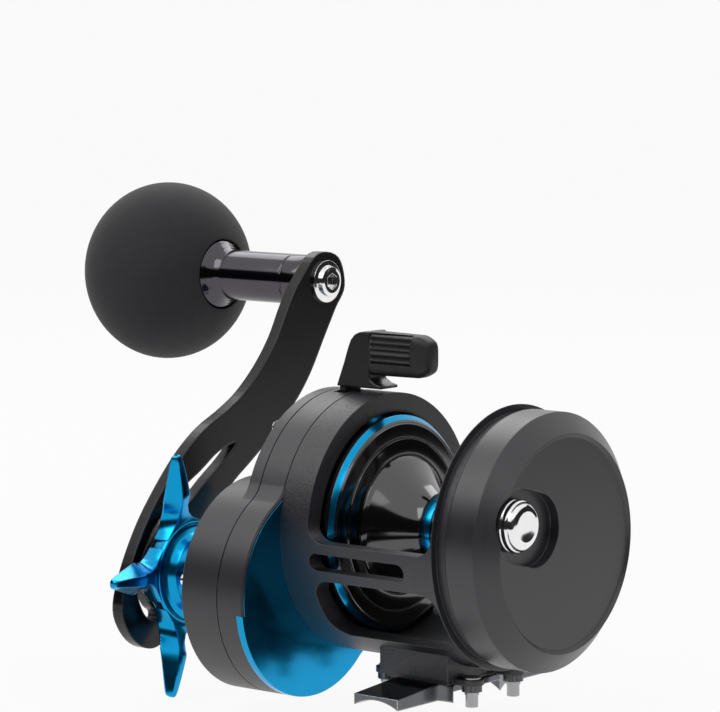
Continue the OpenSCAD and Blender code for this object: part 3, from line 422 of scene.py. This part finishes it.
def arm_black(sheet):
    """Black anodised arm with long faint brush marks and a painted highlight on its edges."""
    looks = bpy.context.scene.reel_finishes
    details = bpy.context.scene.reel_details
    place = sheet.place()
    x, y, z = sheet.split(place)
    # The brush marks run along the arm, so the pattern is turned to it and stretched.
    lean_y, lean_z, stretch = 0.743, 0.669, 0.05
    along = sheet.node("ShaderNodeCombineXYZ", None, {
        0: x, 1: y * lean_y - z * lean_z, 2: (y * lean_z + z * lean_y) * stretch})
    brush = sheet.noise(along, 0.0003, 3.0, 0.6)
    cloud = sheet.noise(place, 0.012, 2.0)
    normal, edge = sheet.edges(0.0007)
    tone = sheet.mix(brush, rgba(looks.arm_color, 0.75), rgba(looks.arm_color, 1.4))
    # Painted highlight: the colour is lifted to a pale grey along the edges.
    tone = sheet.mix(edge * 0.8, tone, (0.085, 0.08, 0.095, 1.0))
    rough = 0.26 + (brush - 0.5) * 0.10 + (cloud - 0.5) * 0.08 - edge * 0.08
    return sheet.finish(
        Base_Color=tone, Roughness=rough, IOR=1.42, Normal=sheet.bump(brush, 0.000008, 0.3, normal))


def chrome(sheet):
    looks = bpy.context.scene.reel_finishes
    place = sheet.place()
    haze = sheet.noise(place, 0.003, 3.0)
    hair = sheet.noise(place, 0.0002, 2.0)
    normal, edge = sheet.edges(0.00025)
    tone = sheet.mix(haze, rgba(looks.chrome_color, 0.93), rgba(looks.chrome_color, 1.05))
    rough = 0.05 + haze * 0.05 + hair * 0.03 + edge * 0.02
    return sheet.finish(
        Base_Color=tone, Roughness=rough, Metallic=1.0, Normal=sheet.bump(hair, 0.000003, 0.2, normal))


def metal(color, rough, pitch, axis=None, edge_size=0.0002):
    """A plain machined metal, with tool marks round an axis or a brushed grain, and a painted highlight on
    its edges.
    """
    def maker(sheet):
        place = sheet.place()
        marks = turned_lines(sheet, place, axis, pitch) if axis else sheet.noise(place, pitch, 3.0, 0.6)
        cloud = sheet.noise(place, 0.005, 2.0)
        normal, edge = sheet.edges(edge_size)
        tone = sheet.mix((marks * 0.6 + cloud * 0.4).clamp(), rgba(color, 0.8), rgba(color, 1.15))
        # Painted highlight: the colour is made brighter along the edges found by the bevel mask.
        tone = sheet.mix(edge * 0.4, tone, rgba([min(1.0, c * 1.5 + 0.05) for c in color]))
        value = rough + (marks - 0.5) * 0.14 + (cloud - 0.5) * 0.06
        return sheet.finish(
            Base_Color=tone, Roughness=value, Metallic=1.0, Normal=sheet.bump(marks, 0.000008, 0.3, normal))
    return maker


def moulded(color, rough, grain, edge_size=0.0003):
    """Moulded plastic or rubber with a light surface grain and a painted highlight on its edges."""
    def maker(sheet):
        place = sheet.place()
        skin = sheet.noise(place, grain, 3.0, 0.6)
        cloud = sheet.noise(place, 0.006, 2.0)
        normal, edge = sheet.edges(edge_size)
        tone = sheet.mix((skin * 0.5 + cloud * 0.5).clamp(), rgba(color, 0.75), rgba(color, 1.25))
        # Painted highlight: the colour is made brighter along the edges found by the bevel mask.
        tone = sheet.mix(edge * 0.35, tone, rgba(color, 2.2))
        value = rough + (skin - 0.5) * 0.14 + (cloud - 0.5) * 0.08
        return sheet.finish(
            Base_Color=tone, Roughness=value, Normal=sheet.bump(skin, 0.00002, 0.3, normal))
    return maker


def dark_chrome(sheet):
    """Black chrome of the foot: a dark mirror, with a painted highlight in near-white along its edges."""
    place = sheet.place()
    haze = sheet.noise(place, 0.004, 3.0)
    hair = sheet.noise(place, 0.0002, 2.0)
    normal, edge = sheet.edges(0.0004)
    tone = sheet.mix(haze, (0.10, 0.105, 0.115, 1.0), (0.16, 0.165, 0.18, 1.0))
    # Painted highlight: the edges get a near-white colour in place of reflected light.
    tone = sheet.mix(edge * 0.8, tone, (0.75, 0.75, 0.77, 1.0))
    rough = 0.10 + haze * 0.08 + hair * 0.04
    return sheet.finish(
        Base_Color=tone, Roughness=rough, Metallic=1.0, Normal=sheet.bump(hair, 0.000003, 0.2, normal))


def casting():
    return finish("blasted_casting", blasted_casting)


def bright_steel():
    return finish("bright_chrome", chrome)


def plain_steel():
    return finish("machined_steel", metal((0.42, 0.42, 0.43), 0.30, 0.0002))


def gunmetal():
    return finish("polished_gunmetal", metal((0.085, 0.08, 0.09), 0.12, 0.00025, KNOB_AXIS))


def brass():
    return finish("gear_brass", metal((0.66, 0.47, 0.18), 0.32, 0.0002))


# ------------------------------------------------------------- mesh building


def add_piece(name, points, faces, materials, body, replaced=(), slots=None, sharp=35):
    mesh = bpy.data.meshes.new(name)
    mesh.from_pydata([tuple(p) for p in points], [], faces)
    if mesh.validate(verbose=False):
        raise RuntimeError(f"{name} has faces that don't hold")
    for material in materials:
        mesh.materials.append(material)
    if slots:
        for polygon, index in zip(mesh.polygons, slots):
            polygon.material_index = index
    mesh.shade_smooth()
    mesh.set_sharp_from_angle(angle=math.radians(sharp))
    piece = bpy.data.objects.new(name, mesh)
    bpy.context.scene.collection.objects.link(piece)
    if replaced:
        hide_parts(*replaced)
    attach(piece, body)
    return piece


def bevelled(piece, width, steps=2, angle=30):
    edge = piece.modifiers.new("rounded_edges", "BEVEL")
    edge.width = width
    edge.segments = steps
    edge.limit_method = "ANGLE"
    edge.angle_limit = math.radians(angle)
    edge.harden_normals = True
    return piece


def rounded(profile, radius, steps=3):
    """A profile of (station, radius, finish) with each corner turned into a small arc."""
    out = [profile[0]]
    for a, b, c in zip(profile, profile[1:], profile[2:]):
        va = Vector((a[0] - b[0], a[1] - b[1]))
        vc = Vector((c[0] - b[0], c[1] - b[1]))
        cut = min(radius, va.length * 0.45, vc.length * 0.45)
        turn = math.degrees(va.angle(vc)) if va.length > 0 and vc.length > 0 else 180
        if turn > 172 or cut <= 0:
            out.append(b)
            continue
        p = Vector(b[:2]) + va.normalized() * cut
        q = Vector(b[:2]) + vc.normalized() * cut
        for i in range(steps + 1):
            t = i / steps
            point = p * (1 - t) ** 2 + Vector(b[:2]) * 2 * t * (1 - t) + q * t ** 2
            out.append((point.x, point.y, b[2] if t > 0.5 else a[2]))
    out.append(profile[-1])
    return out


def lathe(axis, profile):
    """Points, faces and finish numbers of a piece turned about an axis along X."""
    count = bpy.context.scene.reel_details.segments
    points, rows = [], []
    for x, r, _ in profile:
        if r < 1e-4:
            rows.append([len(points)])
            points.append((station(x), axis[0], axis[1]))
            continue
        rows.append(list(range(len(points), len(points) + count)))
        for i in range(count):
            a = 2 * math.pi * i / count
            points.append((station(x), axis[0] + r * MM * math.cos(a), axis[1] + r * MM * math.sin(a)))
    faces, slots = [], []
    for row, following, (_, _, kind) in zip(rows, rows[1:], profile):
        for i in range(count):
            j = (i + 1) % count
            if len(row) == 1 and len(following) == 1:
                continue
            if len(row) == 1:
                face = (row[0], following[j], following[i])
            elif len(following) == 1:
                face = (row[i], row[j], following[0])
            else:
                face = (row[i], row[j], following[j], following[i])
            faces.append(face)
            slots.append(kind)
    return points, faces, slots


def turned_piece(name, axis, profile, corner, materials, body, replaced):
    """profile is (station, radius) or (station, radius, finish number), in millimetres."""
    full = [(p[0], p[1], p[2] if len(p) > 2 else 0) for p in profile]
    points, faces, slots = lathe(axis, rounded(full, corner))
    return add_piece(name, points, faces, materials, body, replaced, slots)


def loft(rings):
    """A closed skin over rings that all have the same number of points."""
    points, faces = [], []
    count = len(rings[0])
    for ring in rings:
        points.extend(ring)
    for r in range(len(rings) - 1):
        for i in range(count):
            j = (i + 1) % count
            a, b = r * count, (r + 1) * count
            faces.append((a + i, a + j, b + j, b + i))
    faces.append(tuple(range(count - 1, -1, -1)))
    faces.append(tuple((len(rings) - 1) * count + i for i in range(count)))
    return points, faces


def dress(node, material):
    """A CAD node keeps its shape and gets a finish."""
    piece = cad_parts[node]
    piece.data.materials.clear()
    piece.data.materials.append(material)
    return piece


# ----------------------------------------------------------------- operators


class REEL_OT_castings(bpy.types.Operator):
    """Finishes the frame, the side plate and the gear case"""

    bl_idname = "reel.castings"
    bl_label = "Castings"

    def turn_down(self, casting_piece):
        """Turns the frame's narrow ring down to a taper that hides behind the side plate."""
        plate = (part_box("left_side_plate")[0][0] - RIM_X) / MM
        # The tool takes off what lies outside the taper, out to its own outer radius.
        start, end, outer = plate - 6.4, plate + 0.6, 34.0
        profile = [
            (start, 31.4, 0), (plate - 2.2, 28.2, 0), (end, 28.0, 0), (end, outer, 0),
            (start, outer, 0), (start, 31.4, 0)]
        points, faces, _ = lathe(SPOOL_AXIS, profile)
        mesh = bpy.data.meshes.new("turning_tool")
        mesh.from_pydata(points, [], faces)
        tool = bpy.data.objects.new("turning_tool", mesh)
        bpy.context.scene.collection.objects.link(tool)
        tool.hide_render = True
        weld = casting_piece.modifiers.new("welded", "WELD")
        weld.merge_threshold = 0.002 * MM
        cut = casting_piece.modifiers.new("turned_down", "BOOLEAN")
        cut.operation = "DIFFERENCE"
        cut.solver = "EXACT"
        cut.object = tool
        split = casting_piece.modifiers.new("crisp_edges", "EDGE_SPLIT")
        split.split_angle = math.radians(28)

    def execute(self, context):
        self.turn_down(dress("frame", finish("ring_casting", ring_casting)))
        for node in ("gear_housing", "right_cover", "tension_cap"):
            dress(node, casting())
        dress("left_side_plate", finish("turned_casting", turned_casting))
        dress("gear_plate", finish("blue_plate", blue_anodised(DRIVE_AXIS)))
        return {"FINISHED"}


class REEL_OT_spool(bpy.types.Operator):
    """Turns the spool with its blue rim and its two blue arbor bands"""

    bl_idname = "reel.spool"
    bl_label = "Spool"

    def execute(self, context):
        # The right half as station and radius in millimetres. A third value names the finish
        # that starts there: 1 is blue and 0 is black.
        flange = 26.0
        half = [
            (-2.6, 3.0), (-2.6, flange - 1.0), (-1.2, flange), (0.0, flange, 1),
            (1.05, flange - 1.1, 0), (1.55, flange - 1.7), (1.35, flange - 2.1), (1.75, 20.9),
            (1.45, 20.8), (1.45, 20.55), (1.95, 20.4), (2.35, 16.9), (2.05, 16.8), (2.05, 16.55),
            (2.6, 16.4)]
        cone = [(3.4 + 10.4 * t / 12, 8.35 + 7.4 * (1 - t / 12) ** 1.7) for t in range(12)]
        band = [(14.0, 8.4), (14.0, 8.75, 1), (16.6, 8.75, 1), (16.6, 8.3, 0)]
        right = half + cone + band
        width = 35.8
        left = []
        for point in reversed(right):
            nearer = right[max(0, right.index(point) - 1)]
            kind = nearer[2] if len(nearer) > 2 else 0
            left.append((width - max(point[0], -1.3), point[1], kind))
        profile = right + left
        black = finish("spool_black", spool_black)
        blue = finish("blue_bands", blue_anodised(SPOOL_AXIS))
        turned_piece("spool_turned", SPOOL_AXIS, profile, 0.12, [black, blue],
                     "spool_group", ["spool"])
        return {"FINISHED"}


class REEL_OT_knob(bpy.types.Operator):
    """Turns the foam knob, its sleeve and the hardware on its spindle"""

    bl_idname = "reel.knob"
    bl_label = "Knob"

    def execute(self, context):
        low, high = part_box("knob")
        middle = ((low[0] + high[0]) / 2 - RIM_X) / MM
        ball = (high[1] - low[1]) / 2 / MM
        half = (high[0] - low[0]) / 2 / MM
        socket = 9.2
        end = math.acos(socket / ball)
        steps = 56
        profile = []
        for i in range(steps + 1):
            a = -math.pi / 2 + (end + math.pi / 2) * i / steps
            profile.append((middle + half * math.sin(a), ball * math.cos(a)))
        profile += [(profile[-1][0] - 2.0, socket), (profile[-1][0] - 2.0, 0.0)]
        profile[0] = (profile[0][0], 0.0)
        turned_piece("knob_foam", KNOB_AXIS, profile, 0.3, [finish("knob_foam", foam)],
                     "handle_knob", ["knob"])
        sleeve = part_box("knob_sleeve")
        root = (sleeve[1][0] - RIM_X) / MM
        lip = middle + half - 2.4
        shape = [
            (lip - 2.0, 0.0), (lip - 2.0, 9.0), (lip, 9.0), (lip + 0.5, 8.8), (lip + 1.5, 7.9),
            (lip + 3.0, 7.0), (lip + 4.6, 6.5), (root - 6.0, 6.5), (root - 5.6, 6.2),
            (root - 5.2, 6.5), (root, 6.5), (root, 0.0)]
        turned_piece("knob_sleeve_turned", KNOB_AXIS, shape, 0.3, [gunmetal()],
                     "handle_knob", ["knob_sleeve"])
        dress("knob_screw", bright_steel())
        dress("arm_washer", finish("dark_washer", moulded((0.012, 0.012, 0.012), 0.5, 0.0003)))
        dress("knob_spindle", plain_steel())
        dress("knob_bearings", bright_steel())
        return {"FINISHED"}


class REEL_OT_handle(bpy.types.Operator):
    """Finishes the handle arm, its nut and its cap"""

    bl_idname = "reel.handle"
    bl_label = "Handle arm"

    def execute(self, context):
        dress("handle_arm", finish("arm_black", arm_black))
        dress("handle_nut", finish("nut_black", metal((0.06, 0.06, 0.065), 0.22, 0.0003)))
        dress("nut_cap", bright_steel())
        dress("shaft_spacer", finish("spacer_dark", metal((0.08, 0.08, 0.085), 0.25, 0.0002, DRIVE_AXIS)))
        dress("drive_shaft", plain_steel())
        return {"FINISHED"}


class REEL_OT_star(bpy.types.Operator):
    """Builds the star wheel: five spear-shaped arms round a hollow neck"""

    bl_idname = "reel.star"
    bl_label = "Star drag"

    def execute(self, context):
        details = context.scene.reel_details
        low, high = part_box("star_drag")
        back = (low[0] - RIM_X) / MM
        front = back + 5.0
        mouth = (high[0] - RIM_X) / MM
        blue = finish("blue_star", blue_anodised(DRIVE_AXIS))
        mid = (back + front) / 2
        # Each arm's sections, outwards: radius, half width at the back and front, back and front station.
        sections = [
            (11.0, 6.6, 6.4, -2.4, 2.3), (12.4, 4.9, 4.5, -2.4, 2.4), (13.6, 4.0, 3.0, -2.3, 2.6),
            (15.2, 3.5, 1.9, -1.8, 3.0), (17.2, 3.4, 1.3, -0.9, 3.8), (19.0, 3.7, 1.25, 0.1, 4.7),
            (19.8, 3.95, 1.4, 0.5, 5.1), (20.5, 3.9, 1.4, 0.8, 5.3), (23.0, 3.3, 1.2, 1.5, 5.5),
            (26.0, 2.5, 1.05, 2.2, 5.6), (28.8, 1.7, 0.85, 2.8, 5.6), (30.1, 1.3, 0.75, 3.1, 5.5),
            (30.7, 0.95, 0.55, 3.4, 5.3), (30.9, 0.5, 0.3, 3.8, 5.0)]
        points, faces = [], []
        for i in range(5):
            along = math.pi - math.radians(2.6) + i * 2 * math.pi / 5
            out = Vector((math.cos(along), math.sin(along)))
            across = Vector((-out.y, out.x))
            rings = []
            for r, wide, narrow, x0, x1 in sections:
                ring = []
                for x, w in ((x0, wide - 0.5), (x0 + 0.25, wide - 0.1), (x0 + 0.6, wide),
                             (x1 - 0.3, narrow + 0.12), (x1 - 0.06, narrow), (x1, narrow - 0.2)):
                    ring.append((x, max(w, 0.05)))
                ring += [(x, -w) for x, w in reversed(ring)]
                rings.append([(station(mid + x), DRIVE_AXIS[0] + (out.x * r + across.x * w) * MM,
                               DRIVE_AXIS[1] + (out.y * r + across.y * w) * MM) for x, w in ring])
            arm_points, arm_faces = loft(rings)
            faces += [tuple(k + len(points) for k in face) for face in arm_faces]
            points += arm_points
        add_piece("star_arms", points, faces, [blue], "star", ["star_drag"], None, 24)
        neck = [
            (back + 0.6, 4.05), (back + 0.3, 9.6), (back + 0.8, 12.2), (front - 0.6, 12.7), (front, 12.5),
            (front + 0.2, 12.1), (front + 0.05, 11.7), (front + 0.15, 11.2), (front + 0.9, 10.2),
            (front + 2.6, 9.4), (front + 5.5, 9.5), (front + 8.5, 10.4), (front + 10.4, 11.5),
            (mouth - 0.4, 11.8), (mouth, 11.4), (mouth, 9.0), (front + 3.2, 8.6)]
        turned_piece("star_neck", DRIVE_AXIS, neck, 0.2, [blue], "star", [])
        return {"FINISHED"}


class REEL_OT_lever(bpy.types.Operator):
    """Builds the clutch lever and its ribbed rubber grip"""

    bl_idname = "reel.lever"
    bl_label = "Clutch lever"

    def execute(self, context):
        low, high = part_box("lever_grip")
        x0, x1 = low[0], high[0]
        cy, cz = (low[1] + high[1]) / 2, (low[2] + high[2]) / 2
        hy, hz = (high[1] - low[1]) / 2, (high[2] - low[2]) / 2
        ribs, rib_depth = 5, 0.75 * MM
        rubber = finish("grip_rubber", moulded((0.016, 0.016, 0.017), 0.50, 0.0004))
        rings = []
        steps, around = 120, 256
        for k in range(steps + 1):
            t = k / steps
            x = x0 + (x1 - x0) * t
            swell = 1.0 - 0.05 * t
            if t < 0.05:
                swell -= 0.10 * (1 - math.sin(t / 0.05 * math.pi / 2))
            if t > 0.80:
                swell -= 0.30 * ((t - 0.80) / 0.20) ** 1.6
            if t > 0.97:
                swell -= 0.10 * ((t - 0.97) / 0.03) ** 2
            groove = min(1.0, max(0.0, (t - 0.08) / 0.03)) * min(1.0, max(0.0, (0.76 - t) / 0.03))
            ring = []
            for i in range(around):
                a = 2 * math.pi * i / around
                c, s = math.cos(a), math.sin(a)
                y = hy * swell * math.copysign(abs(c) ** 0.5, c)
                z = hz * swell * math.copysign(abs(s) ** 0.5, s)
                if -hz * 0.42 < z < hz * 0.94 and abs(y) > hy * 0.3:
                    wave = 0.5 - 0.5 * math.cos((z + hz * 0.42) / (hz * 1.36) * math.pi * 2 * ribs)
                    y -= math.copysign(rib_depth * groove * (1 - wave ** 0.7), y)
                ring.append((x, cy + y, cz + z))
            rings.append(ring)
        points, faces = loft(rings)
        grip = add_piece("grip_moulding", points, faces, [rubber],
                         "lever", ["lever_grip"], None, 60)
        bevelled(grip, 0.0004, 3, 50)
        black = finish("lever_black", moulded((0.012, 0.0115, 0.013), 0.30, 0.0004, 0.0007))
        low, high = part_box("clutch_lever")
        half = (high[1] - low[1]) / 2
        middle = (low[1] + high[1]) / 2
        top = high[2]
        inner = (x0 - RIM_X) / MM
        # The blade's outline: station, and depth below its top in millimetres.
        outline = [
            (inner - 8.6, 13.6), (inner - 6.4, 8.0), (inner - 5.0, 4.0), (inner - 4.2, 2.2),
            (inner - 3.0, 0.9), (inner - 1.6, 0.25), (inner + 0.2, 0.0), (inner + 1.6, 0.0),
            (inner + 1.6, 11.4), (inner + 3.2, 12.4), (inner + 5.2, 12.9), (inner + 5.2, 13.6)]
        rings = []
        for y in (-half, half):
            rings.append([(station(x), middle + y, top - drop * MM) for x, drop in outline])
        points, faces = loft(rings)
        neck = (inner - 7.9, inner - 5.9)
        rings = []
        for z in (low[2], top - 13.4 * MM):
            rings.append([(station(x), middle + y * half * 0.9, z)
                          for x, y in ((neck[0], -1), (neck[1], -1), (neck[1], 1), (neck[0], 1))])
        neck_points, neck_faces = loft(rings)
        faces += [tuple(k + len(points) for k in face) for face in neck_faces]
        points += neck_points
        blade = add_piece("lever_blade", points, faces, [black],
                          "lever", ["clutch_lever"], None, 40)
        bevelled(blade, 0.0007, 3, 25)
        dress("clutch_cam", plain_steel())
        return {"FINISHED"}


class REEL_OT_clicker(bpy.types.Operator):
    """Turns the chrome clicker button"""

    bl_idname = "reel.clicker"
    bl_label = "Clicker"

    def execute(self, context):
        low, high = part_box("click_button")
        axis = ((low[1] + high[1]) / 2, (low[2] + high[2]) / 2)
        base = (high[0] - RIM_X) / MM
        shape = [
            (base - 11.3, 0.0), (base - 11.3, 1.6), (base - 4.2, 1.6), (base - 4.2, 5.9), (base - 3.9, 6.3),
            (base - 3.3, 6.3), (base - 3.05, 5.95), (base - 2.75, 5.95), (base - 2.4, 6.1),
            (base - 1.9, 6.0), (base - 1.6, 5.6), (base - 1.3, 5.55), (base - 0.75, 5.3),
            (base - 0.35, 4.7), (base - 0.1, 3.6), (base - 0.3, 2.2), (base - 0.45, 0.0)]
        turned_piece("button_turned", axis, shape, 0.2, [bright_steel()],
                     "clicker", ["click_button"])
        dress("click_pawl", plain_steel())
        return {"FINISHED"}


class REEL_OT_foot(bpy.types.Operator):
    """Finishes the foot, its clamp plate, studs and nuts"""

    bl_idname = "reel.foot"
    bl_label = "Foot"

    def execute(self, context):
        dress("reel_foot", finish("foot_dark_chrome", dark_chrome))
        dress("clamp_plate", casting())
        dress("clamp_studs", plain_steel())
        dress("foot_screws", plain_steel())
        dress("clamp_nuts", finish("nut_dark", metal((0.10, 0.10, 0.105), 0.22, 0.0003)))
        return {"FINISHED"}


class REEL_OT_inside(bpy.types.Operator):
    """Finishes the pieces inside the gear case and the small fasteners"""

    bl_idname = "reel.inside"
    bl_label = "Inside pieces"

    def execute(self, context):
        for node in ("drive_gear", "pinion", "click_gear", "tension_spacer"):
            dress(node, brass())
        for node in ("plate_screws", "cover_screws", "left_spool_bearing", "right_spool_bearing",
                     "shaft_bearing"):
            dress(node, bright_steel())
        for node in ("spool_shaft", "drive_pin", "clutch_yoke", "yoke_posts", "yoke_springs", "ratchet",
                     "anti_reverse_pawl", "pawl_pin", "drag_plates", "spring_washers"):
            dress(node, plain_steel())
        dress("drag_washers", finish("drag_fibre", moulded((0.03, 0.03, 0.03), 0.7, 0.0003)))
        return {"FINISHED"}


def stage_material(name, glow):
    """White paper that shows as plain white and still keeps a shadow."""
    sheet = Sheet(name)
    tree = sheet.tree
    paper = sheet.shader
    sheet.finish(Base_Color=(0.86, 0.86, 0.86, 1.0), Roughness=0.9)
    path = sheet.node("ShaderNodeLightPath").out.node.outputs
    seen = (Sock(sheet, path["Is Camera Ray"]) + Sock(sheet, path["Is Glossy Ray"])
            + Sock(sheet, path["Is Transmission Ray"])).clamp()
    white = tree.nodes.new("ShaderNodeEmission")
    white.inputs[1].default_value = 1.0
    blend = tree.nodes.new("ShaderNodeMixShader")
    sheet.feed(blend.inputs[0], seen * glow)
    tree.links.new(paper.outputs[0], blend.inputs[1])
    tree.links.new(white.outputs[0], blend.inputs[2])
    out = next(n for n in tree.nodes if n.type == "OUTPUT_MATERIAL")
    tree.links.new(blend.outputs[0], out.inputs[0])
    return sheet.material


def soft_light(name, place, aim, width, height, power):
    data = bpy.data.lights.new(name, "AREA")
    data.shape = "RECTANGLE"
    data.size = width
    data.size_y = height
    data.energy = power
    lamp = bpy.data.objects.new(name, data)
    bpy.context.scene.collection.objects.link(lamp)
    lamp.location = place
    lamp.rotation_euler = (Vector(aim) - Vector(place)).to_track_quat("-Z", "Y").to_euler()
    return lamp


class REEL_OT_stage(bpy.types.Operator):
    """Sets the camera, the pale floor and the soft lights"""

    bl_idname = "reel.stage"
    bl_label = "Stage"

    def dark_cards(self, back, aim):
        """A low dark wall on the camera's side, which gives glossy pieces their dark middle band."""
        start = math.atan2(back.y, back.x)
        low, high, away, half = -0.50, 0.50, 1.1, math.radians(128)
        points, steps = [], 48
        for i in range(steps + 1):
            a = start - half + 2 * half * i / steps
            for z in (low, high):
                points.append((aim.x + away * math.cos(a), aim.y + away * math.sin(a), aim.z + z))
        faces = [(2 * i, 2 * i + 1, 2 * i + 3, 2 * i + 2) for i in range(steps)]
        mesh = bpy.data.meshes.new("dark_cards")
        mesh.from_pydata(points, [], faces)
        sheet = Sheet("dark_card")
        mesh.materials.append(sheet.finish(Base_Color=(0.012, 0.011, 0.013, 1.0), Roughness=0.9))
        cards = bpy.data.objects.new("dark_cards", mesh)
        cards.visible_camera = False
        cards.visible_diffuse = False
        cards.visible_shadow = False
        bpy.context.scene.collection.objects.link(cards)

    def execute(self, context):
        scene = context.scene
        studio = scene.reel_studio
        aim = Vector(CAMERA_AIM)
        az, el = studio.azimuth, studio.elevation
        back = Vector((math.cos(el) * math.sin(az), -math.cos(el) * math.cos(az), math.sin(el)))
        side = Vector((math.cos(az), math.sin(az), 0.0))
        side = Matrix.Rotation(studio.roll, 3, back) @ side
        up = back.cross(side)
        camera = bpy.data.cameras.new("studio_camera")
        camera.lens = studio.lens
        camera.sensor_width = 36.0
        camera.clip_end = 50.0
        holder = bpy.data.objects.new("studio_camera", camera)
        scene.collection.objects.link(holder)
        turn = Matrix((side, up, back)).transposed().to_4x4()
        holder.matrix_world = Matrix.Translation(aim + back * studio.distance) @ turn
        scene.camera = holder

        # A paper sweep: floor, bend and wall, and its reach towards the camera and half width.
        floor_gap = 0.6 * MM
        floor_z = CAD_BOX[0][2] - floor_gap
        reach, wall, bend, bend_steps = 1.6, 1.6, 0.5, 12
        near, wide = 0.34, 0.60
        ahead = -back.xy.normalized()
        across = Vector((ahead.y, -ahead.x))
        path = [(-near, 0.0), (reach, 0.0)]
        path += [(reach + bend * math.sin(a), bend - bend * math.cos(a)) for a in
                 [math.pi / 2 * i / bend_steps for i in range(1, bend_steps + 1)]]
        path += [(reach + bend, bend + wall)]
        rings = []
        for along, up_z in path:
            rings.append([(ahead.x * along + across.x * s, ahead.y * along + across.y * s, floor_z + up_z)
                          for s in (-wide, wide)])
        points = [p for ring in rings for p in ring]
        faces = [(2 * i, 2 * i + 1, 2 * i + 3, 2 * i + 2) for i in range(len(rings) - 1)]
        mesh = bpy.data.meshes.new("paper_sweep")
        mesh.from_pydata(points, [], faces)
        mesh.shade_smooth()
        mesh.materials.append(stage_material("white_paper", 0.93))
        sweep = bpy.data.objects.new("paper_sweep", mesh)
        scene.collection.objects.link(sweep)

        self.dark_cards(back, aim)
        left = -side
        # Each light: name, distance towards the camera, to its left and up, width, height, power.
        for name, ahead_by, left_by, up_by, width, height, power in (
                ("key_softbox", 0.35, 0.75, 0.85, 0.7, 0.7, studio.key_power),
                ("fill_softbox", 0.9, -0.65, 0.25, 0.5, 0.8, studio.fill_power),
                ("back_softbox", -0.7, 0.0, 0.75, 0.9, 0.5, studio.back_power)):
            place = aim + back * ahead_by + left * left_by + Vector((0, 0, up_by))
            soft_light(name, place, aim, width, height, power)

        world = bpy.data.worlds.new("studio_air")
        scene.world = world
        world.use_nodes = True
        tree = world.node_tree
        tree.nodes.clear()
        light_path = tree.nodes.new("ShaderNodeLightPath")
        plain = tree.nodes.new("ShaderNodeBackground")
        plain.inputs[0].default_value = (1.0, 1.0, 1.0, 1.0)
        plain.inputs[1].default_value = 0.32
        white = tree.nodes.new("ShaderNodeBackground")
        white.inputs[0].default_value = (1.0, 1.0, 1.0, 1.0)
        white.inputs[1].default_value = 1.0
        blend = tree.nodes.new("ShaderNodeMixShader")
        out = tree.nodes.new("ShaderNodeOutputWorld")
        seen = tree.nodes.new("ShaderNodeMath")
        both = tree.nodes.new("ShaderNodeMath")
        seen.operation = both.operation = "MAXIMUM"
        tree.links.new(light_path.outputs["Is Camera Ray"], both.inputs[0])
        tree.links.new(light_path.outputs["Is Glossy Ray"], both.inputs[1])
        tree.links.new(both.outputs[0], seen.inputs[0])
        tree.links.new(light_path.outputs["Is Transmission Ray"], seen.inputs[1])
        tree.links.new(seen.outputs[0], blend.inputs[0])
        tree.links.new(plain.outputs[0], blend.inputs[1])
        tree.links.new(white.outputs[0], blend.inputs[2])
        tree.links.new(blend.outputs[0], out.inputs[0])
        scene.view_settings.view_transform = "Standard"
        return {"FINISHED"}


class REEL_PT_panel(bpy.types.Panel):
    bl_label = "Trolling Reel"
    bl_idname = "REEL_PT_panel"
    bl_space_type = "VIEW_3D"
    bl_region_type = "UI"
    bl_category = "Reel"

    def draw(self, context):
        for operator in OPERATORS:
            self.layout.operator(operator.bl_idname)
        for group in (context.scene.reel_finishes, context.scene.reel_details, context.scene.reel_studio):
            box = self.layout.box()
            for key in group.__annotations__:
                box.prop(group, key)


OPERATORS = (
    REEL_OT_castings, REEL_OT_spool, REEL_OT_knob, REEL_OT_handle, REEL_OT_star, REEL_OT_lever,
    REEL_OT_clicker, REEL_OT_foot, REEL_OT_inside, REEL_OT_stage)
GROUPS = {"reel_finishes": ReelFinishes, "reel_details": ReelDetails, "reel_studio": ReelStudio}


def register():
    for kind in (*GROUPS.values(), *OPERATORS, REEL_PT_panel):
        bpy.utils.register_class(kind)
    for name, kind in GROUPS.items():
        setattr(bpy.types.Scene, name, PointerProperty(type=kind))


def unregister():
    for name in GROUPS:
        delattr(bpy.types.Scene, name)
    for kind in reversed((*GROUPS.values(), *OPERATORS, REEL_PT_panel)):
        bpy.utils.unregister_class(kind)


def main():
    register()
    for operator in OPERATORS:
        group, name = operator.bl_idname.split(".")
        getattr(getattr(bpy.ops, group), name)()


if __name__ == "__main__":
    main()
